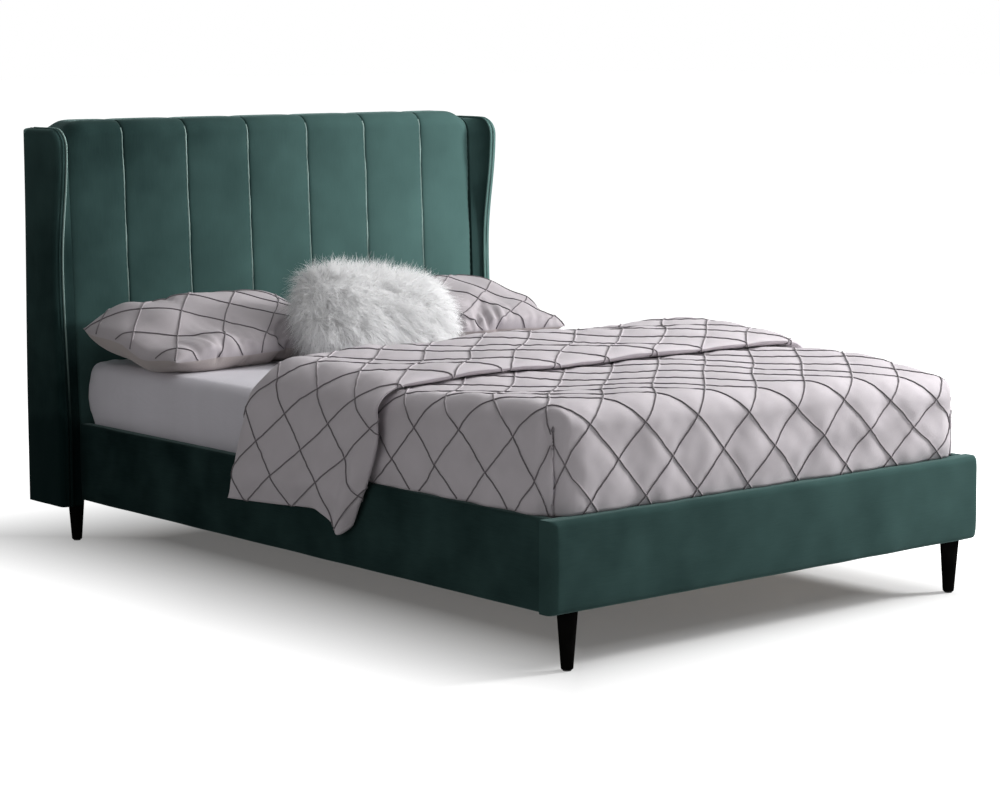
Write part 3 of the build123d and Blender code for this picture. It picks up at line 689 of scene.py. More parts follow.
class Palette:
    """All finishes of the bed, built once."""

    def __init__(self) -> None:
        """Builds every material."""
        upright, along_x, along_y = (9.0, 9.0, 0.55), (0.55, 9.0, 9.0), (9.0, 0.55, 9.0)
        # Settings of the bright velvet copies: a painted highlight for the seam lines and left welt, painted
        # light for the right wing's front strip.
        painted_highlight = {"brushed_color": (0.32, 0.45, 0.42), "sheen_weight": 0.5}
        strip = {"brushed_color": (0.115, 0.205, 0.19), "sheen_weight": 0.5}
        backing = ((0.80, 0.80, 0.80), (0.66, 0.66, 0.65))
        finishes = (
            # Headboard velvet: painted light, lighter to the right and lower down.
            VelvetFinish("velvet", upright, (0.46, 0.0, -0.42), 1.0),
            # Wing velvet: painted shade, a darker copy of the velvet that is darkest at the bottom.
            VelvetFinish("velvet_wing", upright, (0.04, 0.0, 0.55), -0.17),
            # Painted highlight: bright lines beside the seams and on the left welt, darker towards the bottom
            # (painted shade).
            VelvetFinish("velvet_piping", upright, (0.0, 0.0, 2.2), -0.85, **painted_highlight),
            # Painted light: a lit copy of the velvet for the right wing's front strip and welt.
            VelvetFinish("velvet_strip", upright, lie_offset=1.0, **strip),
            # Side rail velvet: painted shade, a darker copy that darkens further towards the head.
            VelvetFinish("velvet_side_rail", along_y, (0.0, -0.14, 0.0), 0.15),
            # Foot rail velvet: painted light, lighter towards the right.
            VelvetFinish("velvet_foot_rail", along_x, (0.12, 0.0, 0.0), 0.46),
            CottonFinish("pintuck_cotton", (0.58, 0.54, 0.57), (0.47, 0.435, 0.455)),
            # Pillow cotton: painted shade, a darker copy of the duvet's cotton.
            CottonFinish("pillow_cotton", (0.475, 0.438, 0.46), (0.38, 0.35, 0.367)),
            # Painted shade: the dark cloth of the tubes in the tucks and in the foot's corner slits.
            CottonFinish("pintuck_stitch_line", (0.17, 0.155, 0.165), (0.13, 0.115, 0.125)),
            # The case's lower layer: a darker taupe cotton, partly the taupe hem and partly painted shade on
            # the underside.
            CottonFinish("pillow_back_cotton", (0.42, 0.375, 0.365), (0.34, 0.30, 0.29)),
            CottonFinish("sheet_cotton", (0.66, 0.64, 0.69), (0.58, 0.56, 0.60), 500.0),
            CottonFinish("mattress_ticking", (0.78, 0.77, 0.73), (0.66, 0.65, 0.62), 180.0),
            PileFinish("white_fur"),
            PileFinish("white_fur_backing", *backing),
            HardFinish(
                "black_lacquer", (0.0040, 0.0038, 0.0036), (0.0100, 0.0095, 0.0090), 18.0, 0.5, 0.00015,
                specular_ior_level=0.0,
            ),
            WoodFinish("birch_slat", (0.66, 0.51, 0.33), (0.52, 0.37, 0.21), (0.5, 8.0, 8.0), 5.0, 0.2),
            HardFinish("black_plastic", (0.020, 0.020, 0.021), (0.05, 0.05, 0.05)),
            HardFinish("zinc_steel", (0.55, 0.56, 0.58), (0.40, 0.41, 0.42), 90.0, 0.8, 0.00008, 1.0),
            HardFinish("black_steel", (0.030, 0.030, 0.032), (0.09, 0.09, 0.09), 45.0, 0.4, 0.0003, 0.3),
            WoodFinish("pine_and_ply", (0.63, 0.48, 0.30), (0.47, 0.31, 0.16), (8.0, 0.5, 8.0), 3.0),
        )
        self.materials = {finish.name: finish.material() for finish in finishes}

    def pick(self, *names: str) -> list[Material]:
        """The materials of some names."""
        return [self.materials[name] for name in names]

    def dress_nodes(self) -> None:
        """Gives every CAD node the finish of its slot in the record."""
        for entry in frame["record"]["subparts"]:
            for slot in frame["nodes"][entry["node"]].material_slots:
                slot.material = self.materials[Slot(entry["material_slot"]).value]


def enlist(
    piece: bpy.types.Object, body: str, nodes: Sequence[str] = ()
) -> None:
    """Enters a piece in the frame.

    Args:
        piece: The piece.
        Hangs a piece on the body it rides on, hides the CAD nodes it stands for and logs its faces.
        nodes: The CAD nodes that it stands for.
    """
    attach(piece, body)
    if nodes:
        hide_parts(*nodes)
    log.info("%s: %d faces on %s", piece.name, len(piece.data.polygons), body)


# Headboard


RAKE = math.radians(2.5)


def raked(low: Vector, z: Array | float) -> Array:
    """Y of the headboard's padded face at a height, from the lowest front corner of a pad."""
    return low.y + (z - low.z) * math.tan(RAKE)


@dataclass
class Headboard:
    """The seven upright channels between the wings."""

    channels: int = 7
    front_roll: float = 0.046
    rear_roll: float = 0.022
    pad_thickness: float = 0.030
    lining_top: float = 1.130
    wing_top: float = 1.149
    seam_depth: float = 0.0105
    seam_power: float = 4.4
    crown: float = 0.0035
    seam_dip: float = 0.006
    seam_gap: float = 0.0004
    stitch_pitch: float = 0.021
    stitch_pull: float = 0.0009
    stitch_reach: float = 0.010
    unevenness: float = 0.0008
    line_share: float = 0.960
    line_radius: float = 0.0021
    across: int = 34
    face_spacing: float = 0.0065

    def section(self, index: int, share: float) -> Array:
        """One closed side view of a channel pad.

        Args:
            index: The channel's number from 0.
            share: The place across the pad, from -1 to 1.

        Returns:
            The points of the section.
        """
        low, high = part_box(f"channel_pad_{index + 1}")
        x = (low.x + high.x) / 2 + share * ((high.x - low.x) / 2 - self.seam_gap)
        edge = 1 - (1 - abs(share) ** self.seam_power) ** (1 / self.seam_power)
        drop = self.seam_depth * edge + self.crown * share * share
        at_wing = index in (0, self.channels - 1) and share * (index - (self.channels - 1) / 2) > 0
        dip = (high.z - self.wing_top) * smooth_step(abs(share) ** 2.2) if at_wing else self.seam_dip * edge
        top = high.z - float(dip)
        rise = np.linspace(low.z, top - self.front_roll, int((high.z - low.z) / self.face_spacing))
        from_seam = (1 - abs(share)) * (high.x - low.x) / 2
        pull = self.stitch_pull * math.exp(-from_seam / self.stitch_reach)
        stitches = pull * np.cos(2 * math.pi * rise / self.stitch_pitch)
        front = raked(low, rise) + drop + stitches - self.unevenness * SoftNoise(11, 0.20)(rise * 0 + x, rise)
        roll = arc((front[-1] + self.front_roll, rise[-1]), self.front_roll, math.pi, QUARTER, 12)[1:]
        rear = (high.y - self.rear_roll, top - self.rear_roll)
        flat = np.linspace(roll[-1, 0], rear[0], 6)[1:]
        lining = raked(low, self.lining_top) + self.pad_thickness
        side = np.vstack(
            [
                np.stack([front, rise], -1),
                roll,
                np.stack([flat, np.full(len(flat), top)], -1),
                arc(rear, self.rear_roll, QUARTER, 0.0, 8)[1:],
                [(high.y, self.lining_top), (lining, self.lining_top), (low.y + self.pad_thickness, low.z)],
            ]
        )
        return np.column_stack([np.full(len(side), x), side])

    def edge_line(self, maker: MeshMaker, side: Array) -> None:
        """Adds a thin tube of bright velvet beside a seam: a painted highlight along the pad's rolled edge.
        """
        path = side[: np.argmax(side[:, 2]) - 5 : 2]
        normals = unit(np.cross(np.array([1.0, 0.0, 0.0]), unit(np.gradient(path, axis=0))))
        radius = self.line_radius * (1 + 0.2 * SoftNoise(17, 0.07)(path[:, 0], path[:, 2]))
        maker.ribbon_tube(path + normals * 0.0003, normals, radius, slot=1)

    def build(self, palette: Palette) -> None:
        """Makes all channel pads.

        Args:
            palette: The finishes.
        """
        shares = np.sin(QUARTER * np.linspace(-1, 1, self.across))
        for index in range(self.channels):
            maker = MeshMaker()
            maker.grid(np.stack([self.section(index, share) for share in shares]), ring=True, caps=True)
            if index < self.channels - 1:
                self.edge_line(maker, self.section(index, self.line_share))
            name = f"headboard_channel_{index + 1}"
            # The pads take the headboard velvet with its painted light, and the painted highlight for the
            # lines beside the seams.
            piece = sharpen(maker.build(name, palette.pick("velvet", "velvet_piping")), 65)
            enlist(piece, "frame", [f"channel_pad_{index + 1}"])


@dataclass
class Wing:
    """One padded wing: outer face, front strip and the flare to the headboard."""

    side: int
    panel_half: float = 0.708
    bottom: float = 0.122
    hip_height: float = 0.300
    waist_height: float = 0.770
    shoulder_height: float = 1.098
    top: float = 1.149
    hip_y: float = 0.887
    waist_y: float = 0.910
    shoulder_y: float = 0.878
    inner_x: float = 0.745
    outer_x: float = 0.775
    back_y: float = 1.065
    edge_radius: float = 0.015
    inner_radius: float = 0.010
    back_radius: Pair = (0.004, 0.020)
    flare: float = 0.10
    flare_power: float = 2.2
    hollow: float = 0.003
    strip_crown: float = 0.0030
    strip_ripple: float = 0.0005
    strip_columns: tuple[int, int] = (9, 24)
    side_pad: float = 0.0016
    side_ripple: float = 0.0004
    side_hem: float = 0.1
    welt_radius: float = 0.0025
    spacing: float = 0.009

    def outline(self) -> list[Array]:
        """The front profile and the line along the headboard, as Y and Z of matching stations."""
        stations = (
            (self.bottom, self.hip_y),
            (self.hip_height, self.hip_y),
            (self.waist_height, self.waist_y),
            (self.shoulder_height, self.shoulder_y),
        )
        heights, places = [[self.bottom]], [[self.hip_y]]
        for (z_from, y_from), (z_to, y_to) in zip(stations, stations[1:]):
            rise = span(z_from, z_to, self.spacing)[1:]
            heights.append(rise)
            share = (1 - np.cos(math.pi * (rise - z_from) / (z_to - z_from))) / 2
            places.append(y_from + (y_to - y_from) * share)
        z = np.concatenate(heights)
        radius = self.top - self.shoulder_height
        bend = arc((radius, 0.0), radius, math.pi, QUARTER, 15)[1:]
        end = np.array([self.back_y - self.back_radius[1] - 0.004, self.top])
        steps = np.linspace(0, 1, 14)[1:, None]
        lines = []
        for y in (np.concatenate(places), raked(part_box("channel_pad_1")[0], z)):
            curve = np.vstack([np.column_stack([y, z]), bend + (y[-1], self.shoulder_height)])
            lines.append(np.vstack([curve, curve[-1] + (end - curve[-1]) * steps]))
        return lines

    def skin(self, front: Array, inner: Array, outward: Array) -> Array:
        """The points of the whole wing.

        Args:
            front: The front profile, as Y and Z.
            inner: The line along the headboard, as Y and Z.
            outward: The front profile's normals.

        Returns:
            Stations along the wing by lines round it by 3.
        """
        reach = np.concatenate([[0], np.cumsum(np.linalg.norm(np.diff(front, axis=0), axis=1))])
        noise = SoftNoise(23 + self.side, 0.12)
        columns: list[Array] = []

        def column(x: Array | float, place: Array, out: Array | float = 0.0) -> None:
            """Adds one line of points along the wing."""
            moved = place + outward * np.broadcast_to(out, (len(place),))[:, None]
            columns.append(np.column_stack([np.broadcast_to(self.side * x, (len(place),)), moved]))

        def height(x: float) -> Array:
            """Heights of the stations at the back, lower where the outer edge rounds over."""
            inside = max(0.0, x - (self.outer_x - self.edge_radius))
            drop = self.edge_radius - math.sqrt(max(0.0, self.edge_radius**2 - inside**2))
            return self.bottom + (self.top - drop - self.bottom) * (reach / reach[-1])

        depth = self.inner_x - self.panel_half
        for share in np.linspace(0, 1 - self.flare, 8):
            x = self.panel_half + (1 - (1 - share) ** self.flare_power) * depth
            column(x, inner + (front - inner) * share, -self.hollow * math.sin(math.pi * share))
        for k in np.linspace(0, 1, 6)[1:]:
            flare = self.flare * (1 - k) ** 2
            x = self.inner_x - flare**self.flare_power * depth + k * k * self.inner_radius
            column(x, front + (inner - front) * flare)
        first, last = self.inner_x + self.inner_radius, self.outer_x - self.edge_radius
        for share in np.linspace(0, 1, 6)[1:]:
            ripple = self.strip_ripple * noise(reach, share * 0.02)
            swell = self.strip_crown * math.sin(math.pi * share) + ripple
            column(first + share * (last - first), front, swell)
        for turn in np.linspace(0, QUARTER, 8)[1:]:
            column(last + self.edge_radius * math.sin(turn), front, -self.edge_radius * (1 - math.cos(turn)))
        edge = front - outward * self.edge_radius
        spine = height(self.outer_x)
        low, high = self.back_radius
        bend = low + (high - low) * smooth_step((spine - 0.35) / 0.7)
        back = np.column_stack([self.back_y - bend, spine])
        for share in np.linspace(0, 1, 18)[1:]:
            place = edge + (back - edge) * share
            pad = self.side_pad * math.sin(math.pi * share) * np.clip(reach / self.side_hem, 0, 1)
            swell = pad + self.side_ripple * noise(*place.T) * math.sin(math.pi * share)
            column(self.outer_x + swell, place)
        for turn in np.linspace(0, QUARTER, 6)[1:]:
            x = self.outer_x - bend * (1 - math.cos(turn))
            y = self.back_y - bend * (1 - math.sin(turn))
            column(x, np.column_stack([y, height(float(x.mean()))]))
        for share in np.linspace(0, 1, 6)[1:]:
            x = self.outer_x - bend + share * (self.panel_half - self.outer_x + bend)
            column(x, np.column_stack([np.full(len(x), self.back_y), height(float(x.mean()))]))
        back = np.column_stack([np.full(len(spine), self.back_y), height(self.panel_half)])
        for share in (0.33, 0.66):
            column(self.panel_half, back + (inner - back) * share)
        return np.stack(columns, axis=1)

    def build(self, palette: Palette) -> None:
        """Makes the wing and its welt. The right wing's front strip takes a lit copy of the velvet: painted
        light.

        Args:
            palette: The finishes.
        """
        name = side_name(self.side)
        front, inner = self.outline()
        along = unit(np.gradient(front, axis=0))
        outward = np.stack([-along[:, 1], along[:, 0]], -1)
        skin = self.skin(front, inner, outward)
        maker = MeshMaker()
        maker.grid(skin, ring=True, flip=self.side > 0, caps=True)
        # The right wing's front strip gets the lit velvet copy: painted light.
        if self.side > 0:
            slots = np.zeros((skin.shape[0] - 1, skin.shape[1]), int)
            slots[:, slice(*self.strip_columns)] = 1
            maker.slots[: slots.size] = slots.ravel().tolist()
        pair = palette.pick("velvet_wing", "velvet_strip")
        piece = sharpen(maker.build(f"wing_padding_{name}", pair), 55)
        enlist(piece, "frame", [f"wing_cover_{name}"])
        welt = MeshMaker()
        count = len(front)
        path = np.column_stack([np.full(count, self.side * (self.inner_x + 0.001)), front + outward * 0.0009])
        upward = np.column_stack([np.zeros(count), outward])
        welt.ribbon_tube(path, upward, np.full(count, self.welt_radius), 8)
        # Painted light: the left welt takes the painted highlight, the right welt the lit strip velvet.
        pile = palette.pick("velvet_piping" if self.side < 0 else "velvet_strip")
        enlist(welt.build(f"wing_welt_{name}", pile), "frame")


# Rails


@dataclass
class RailCover:
    """Foam and velvet round a rail's board, open inside between two lips."""

    rail: str
    end: str
    edge_radius: float
    inner_radius: float = 0.003
    lip: float = 0.028
    crown: float = 0.0018
    gap: float = 0.0003
    spacing: float = 0.012

    @property
    def node(self) -> str:
        """The CAD node that the cover stands for."""
        return f"{self.rail}_cover{self.end}"

    @property
    def board(self) -> str:
        """The CAD node of the board inside."""
        return f"{self.rail}_board{self.end}"

    def profile(self, width: float, inside: float, outside: float) -> Array:
        """The cover's section, from its inner side at 0 to its outer side at a width.

        Args:
            width: The thickness of the whole rail.
            inside: The inner side of the board in the section.
            outside: The outer side of the board in the section.

        Returns:
            The points of the section, outside first and then round the board.
        """
        low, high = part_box(self.node)
        board_low, board_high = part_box(self.board)
        height = high.z - low.z
        under, over = board_low.z - low.z - self.gap, board_high.z - low.z + self.gap
        inside, outside = inside - self.gap, outside + self.gap
        r, small = self.edge_radius, self.inner_radius
        side = np.linspace(height - r, r, 18)[1:-1]
        return np.vstack(
            [
                [(0.0, height - self.lip)],
                arc((small, height - small), small, math.pi, QUARTER, 4),
                [(x, height) for x in np.linspace(small, width - r, 4)[1:-1]],
                arc((width - r, height - r), r, QUARTER, 0.0, 7),
                np.column_stack([width + self.crown * (1 - (2 * side / height - 1) ** 4), side]),
                arc((width - r, r), r, 0.0, -QUARTER, 7),
                [(x, 0.0) for x in np.linspace(width - r, small, 4)[1:-1]],
                arc((small, small), small, -QUARTER, -math.pi, 4),
                [(0.0, self.lip), (inside, self.lip), (inside, under), (outside, under)],
                [(outside, over), (inside, over), (inside, height - self.lip)],
            ]
        )

    def build(self, rows: list[Array], flip: bool, material: list[Material]) -> None:
        """Makes the cover from its sections."""
        maker = MeshMaker()
        maker.grid(np.stack(rows), ring=True, flip=flip, caps=True)
        piece = sharpen(maker.build(f"{self.rail}_padding{self.end}", material))
        enlist(piece, "frame", [self.node])


@dataclass
class Rails:
    """The covers of both side rails and of the foot rail."""

    side_radius: float = 0.009
    foot_radius: float = 0.016
    wave: float = 0.0009

    def side_rail(self, side: int, palette: Palette) -> None:
        """Makes the cover of one side rail.

        Args:
            side: -1 for the left rail and 1 for the right.
            palette: The finishes.
        """
        cover = RailCover("side_rail", f"_{side_name(side)}", self.side_radius)
        low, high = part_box(cover.node)
        near, far = sorted(abs(corner.x) for corner in (low, high))
        board = sorted(abs(corner.x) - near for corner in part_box(cover.board))
        x, z = cover.profile(far - near, *board).T
        noise = SoftNoise(31 + side, 0.16)
        rows = []
        for y in span(low.y, high.y, cover.spacing):
            swell = np.where(x > (far - near) - self.side_radius, self.wave * noise(y + x * 0, z), 0)
            rows.append(np.column_stack([side * (near + x + swell), np.full(len(x), y), low.z + z]))
        # The side rails take the darker velvet copy: painted shade.
        cover.build(rows, side > 0, palette.pick("velvet_side_rail"))

    def foot_rail(self, palette: Palette) -> None:
        """Makes the cover of the foot rail, with rounded front corners and closed ends.

        Args:
            palette: The finishes.
        """
        cover = RailCover("foot_rail", "", self.foot_radius)
        low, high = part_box(cover.node)
        board_low, board_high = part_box(cover.board)
        depth = high.y - low.y
        section = cover.profile(depth, high.y - board_high.y, high.y - board_low.y)
        cavity = len(section) - 6
        closed = section.copy()
        closed[cavity - 1:, 0] = 0.0
        closed[cavity:, 1] = np.linspace(cover.lip, high.z - low.z - cover.lip, 6)
        noise = SoftNoise(37, 0.18)
        r = self.foot_radius
        ends = low.x + r * (1 - np.cos(np.linspace(0, QUARTER, 7)))
        middle = span(ends[-1], -ends[-1], cover.spacing)
        reach = board_high.x + cover.gap
        steps = [-reach - 1e-5, -reach, reach, reach + 1e-5]
        rows = []
        for x in np.sort(np.concatenate([ends, middle[1:-1], -ends[::-1], steps])):
            y, z = (section if abs(x) <= reach else closed).T
            inset = max(0.0, r - (high.x - abs(x)))
            back = r - math.sqrt(max(0.0, r * r - inset * inset))
            swell = np.where(y > depth - r, self.wave * noise(x + y * 0, z), 0)
            share = np.clip(y / depth, 0, 1) ** 2
            rows.append(np.column_stack([np.full(len(y), x), high.y - y + share * back - swell, low.z + z]))
        # The foot rail takes the velvet copy that is lighter towards the right: painted light.
        cover.build(rows, False, palette.pick("velvet_foot_rail"))

    def build(self, palette: Palette) -> None:
        """Makes the three covers."""
        for side in (-1, 1):
            self.side_rail(side, palette)
        self.foot_rail(palette)


# Mattress and fitted sheet


@dataclass
class Slab:
    """A box with rounded corners in plan and rounded edges, as loops about its middle."""

    low: Vector
    high: Vector
    corner: float
    edge: float
    columns: tuple[int, int] = (84, 118)

    def loop(self, inset: float, z: float) -> Array:
        """One closed loop of the outline, drawn in by a distance.

        Args:
            inset: The distance.
            z: The loop's height.

        Returns:
            Points by 3.
        """
        half_x = (self.high.x - self.low.x) / 2 - inset
        half_y = (self.high.y - self.low.y) / 2 - inset
        radius = min(max(self.corner - inset, 0.0005), half_x, half_y)
        arcs = [
            arc((sx * (half_x - radius), sy * (half_y - radius)), radius, (k - 1) * QUARTER, k * QUARTER, 9)
            for k, (sx, sy) in enumerate(((1, -1), (1, 1), (-1, 1), (-1, -1)))
        ]
        parts = []
        for here, after, count in zip(arcs, arcs[1:] + arcs[:1], self.columns[::-1] * 2):
            steps = np.linspace(0, 1, max(3, count))[1:-1, None]
            parts += [here, here[-1] + (after[0] - here[-1]) * steps]
        flat = np.vstack(parts) + ((self.high.x + self.low.x) / 2, (self.high.y + self.low.y) / 2)
        return np.column_stack([flat, np.full(len(flat), z)])

    def rows(self, under: float, top_loops: int = 14) -> Array:
        """Loops from a hem under the box, up its sides and over its top.

        Args:
            under: How far the first loop lies inwards under the box.
            top_loops: How many loops cover the top.

        Returns:
            Loops by points by 3.
        """
        half = (self.high.x - self.low.x) / 2
        bottom, top, edge = self.low.z, self.high.z, self.edge
        insets = [(inset, bottom) for inset in np.linspace(under, edge, 5)[:-1]]
        for turn in np.linspace(0, QUARTER, 7):
            insets.append((edge * (1 - math.sin(turn)), bottom + edge * (1 - math.cos(turn))))
        insets += [(0.0, z) for z in span(bottom + edge, top - edge, 0.012)[1:-1]]
        for turn in np.linspace(0, QUARTER, 7):
            insets.append((edge * (1 - math.cos(turn)), top - edge * (1 - math.sin(turn))))
        for share in np.linspace(0, 1, top_loops)[1:]:
            insets.append((edge + share * (half - edge - 0.004), top))
        return np.stack([self.loop(inset, z) for inset, z in insets])


@dataclass
class MattressSet:
    """The mattress and the fitted sheet stretched over it."""

    corner: float = 0.038
    edge: float = 0.028
    sheet: float = 0.0015
    tuck: float = 0.050
    bulge: float = 0.011
    rail_top: float = 0.352
    base: float = 0.0012
    pulls: SoftNoise = SoftNoise(41, 0.30, 0.0007)
    creases: SoftNoise = SoftNoise(43, 0.07)
    crease: float = 0.0004
    corner_pull: float = 0.0022
    corner_reach: float = 0.14
    most: float = 0.008

    def build(self, palette: Palette) -> None:
        """Makes both pieces.

        Args:
            palette: The finishes.
        """
        low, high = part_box("mattress")
        core = Slab(low, high, self.corner, self.edge, (45, 62))
        rows = self.swollen(core.rows((high.x - low.x) / 2 - 0.004), low, high)
        maker = MeshMaker()
        maker.grid(rows, ring=True, caps=True)
        body = maker.build("mattress_body", palette.pick("mattress_ticking"))
        enlist(body, "mattress", ["mattress"])
        grow = Vector((self.sheet, self.sheet, self.sheet))
        cover = Slab(low - grow, high + grow, self.corner + self.sheet, self.edge + self.sheet)
        outer = self.swollen(cover.rows(self.tuck + self.sheet), low, high)
        inner = Slab(low - grow * 0.2, high + grow * 0.2, self.corner, self.edge).rows(self.tuck + self.sheet)
        inner = self.swollen(inner, low, high)
        outer = outer - grid_normals(outer) * self.wrinkles(outer, high)[..., None]
        maker = MeshMaker()
        shell = np.concatenate([inner[::-1], outer])
        maker.grid(shell, ring=True, caps=True, cloth=shell[..., :2])
        piece = maker.build("fitted_sheet_cloth", palette.pick("sheet_cotton"))
        enlist(piece, "mattress", ["fitted_sheet"])

    def swollen(self, points: Array, low: Vector, high: Vector) -> Array:
        """Points of a slab whose sides above the rails and corners bulge a little.

        Args:
            points: The slab's points.
            low: The lowest corner of the mattress.
            high: Its highest corner.

        Returns:
            The moved points.
        """
        up = np.clip((points[..., 2] - self.rail_top) / (high.z - self.rail_top), 0, 1)
        swell = self.bulge * np.sin(math.pi * up) ** 0.8
        middle = np.array([(low.x + high.x) / 2, (low.y + high.y) / 2])
        away = np.abs(points[..., :2] - middle) / np.array([(high.x - low.x) / 2, (high.y - low.y) / 2])
        side = np.clip((away - 0.86) / 0.12, 0, 1)
        moved = points.copy()
        moved[..., :2] += np.sign(points[..., :2] - middle) * (swell[..., None] * side)
        moved[..., 1] = np.minimum(moved[..., 1], points[..., 1].max() + 0.002)
        return moved

    def wrinkles(self, points: Array, high: Vector) -> Array:
        """How far the sheet stands off: soft pulls along its sides and at its corners.

        Args:
            points: The sheet's points.
            high: The highest corner of the mattress.

        Returns:
            The distance at each point.
        """
        x, y, z = np.moveaxis(points, -1, 0)
        side = smooth_step((high.z + 0.001 - z) / 0.05)
        corner = bell(np.hypot(np.abs(x) - high.x, y - high.y), 0.0, self.corner_reach)
        height = self.base + self.pulls(x, y, z * 3) + self.crease * self.creases(x, y * 0.5, z * 2)
        gathers = self.corner_pull * corner * (1 + self.creases(x * 2, y * 2, z * 0.4))
        return np.clip(height * side + gathers, 0.0, self.most)


# Duvet


@dataclass
class PintuckPattern:
    """Stitched tucks in two directions that cross into diamonds."""

    spacing: float = 0.118
    ridge: float = 0.0013
    shade: float = 0.0018
    stand: float = 0.0013
    step: float = 0.006
    wander: float = 0.004
    seed: int = 5
    puff: float = 0.0045
    puff_width: float = 0.024
    pucker: float = 0.0004
    pucker_width: float = 0.020
    pucker_pitch: float = 0.034
    shortest: int = 5
    lit_side: Triple = (1.0, 0.5, 0.1)

    def drift(self, s: Array, t: Array) -> Array:
        """How far the sewn lines wander at places in the cloth."""
        return self.wander * SoftNoise(self.seed, 0.5)(s, t)

    def warped(self, s: Array, t: Array) -> tuple[Array, Array]:
        """The two line coordinates of places in the cloth, in steps of one line."""
        sway, root = self.drift(s, t), math.sqrt(2)
        return ((s + t) / root + sway) / self.spacing, ((s - t) / root - sway) / self.spacing

    def height(self, s: Array, t: Array) -> Array:
        """How far the filling swells between the tucks.

        Args:
            s: Distances across the cloth.
            t: Distances along the cloth.

        Returns:
            The height at each place.
        """
        swell = np.ones(np.broadcast(s, t).shape)
        ripple = np.zeros_like(swell)
        crossing = self.warped(s, t)
        gathers = SoftNoise(self.seed + 300, self.pucker_pitch)
        for lines, along in zip(crossing, crossing[::-1]):
            away = np.abs(lines - np.round(lines)) * self.spacing
            swell = swell * (1 - np.exp(-((away / self.puff_width) ** 2)))
            gathered = gathers(along * self.spacing, np.round(lines) * 7.3)
            ripple = ripple + np.exp(-away / self.pucker_width) * gathered
        return self.puff * swell + self.pucker * ripple

    def lines(self, s_range: tuple, t_range: tuple, shown: Optional[Callable]) -> list[Array]:
        """The tucks inside a rectangle of cloth, each as points by 2, where the cloth is shown.

        Args:
            s_range: The rectangle's limits across.
            t_range: The rectangle's limits along.
            shown: Tells which places of the cloth are in sight.

        Returns:
            The tucks' lines.
        """
        root = math.sqrt(2)
        found = []
        for family in (1, -1):
            corners = [(s + family * t) / root for s in s_range for t in t_range]
            first, last = math.ceil(min(corners) / self.spacing), math.floor(max(corners) / self.spacing)
            for number in range(first, last + 1):
                t = span(*t_range, self.step / root)
                s = number * self.spacing * root - family * t
                s = s - root * self.drift(s, t) * family
                inside = (s >= s_range[0]) & (s <= s_range[1])
                if shown is not None:
                    inside = inside & shown(s, t)
                places = np.flatnonzero(inside)
                runs = np.split(places, np.flatnonzero(np.diff(places) > 1) + 1)
                found += [np.column_stack([s[run], t[run]]) for run in runs if len(run) >= self.shortest]
        return found

    def stitch(
        self,
        maker: MeshMaker,
        surface: Callable,
        s_range: tuple,
        t_range: tuple,
        seed: int,
        shown: Optional[Callable] = None,
    ) -> None:
        """Lays the tucks on a surface: a dark tube, painted shade for the shadow in the tuck's fold, with a
        ridge of cloth beside it on its lit side.

        Args:
            maker: Takes the meshes.
            surface: Gives points by 3 for distances across and along.
            s_range: The rectangle's limits across.
            t_range: The rectangle's limits along.
            seed: The seed of the tucks' unevenness.
            shown: Tells which places of the cloth are in sight.
        """
        uneven = SoftNoise(seed, 0.05)
        for line in self.lines(s_range, t_range, shown):
            s, t = line.T
            path = surface(s, t)
            normals = skin_normals(surface, s, t, 0.002)
            beside = unit(np.cross(unit(np.gradient(path, axis=0)), normals))
            wobble = uneven(s, t)[:, None]
            path = path + beside * 0.0003 * wobble
            ridge = self.ridge * (1 + 0.18 * wobble[:, 0])
            shade = np.full(len(path), self.shade)
            # The dark tube in slot 1 is painted shade for the shadow in the tuck's fold.
            maker.ribbon_tube(path + normals * self.stand, normals, shade, slot=1)
            lit = np.sign(beside @ np.array(self.lit_side) + 1e-6)[:, None] * (self.shade + 0.0005)
            maker.ribbon_tube(path + beside * lit + normals * 0.0004, normals, ridge)


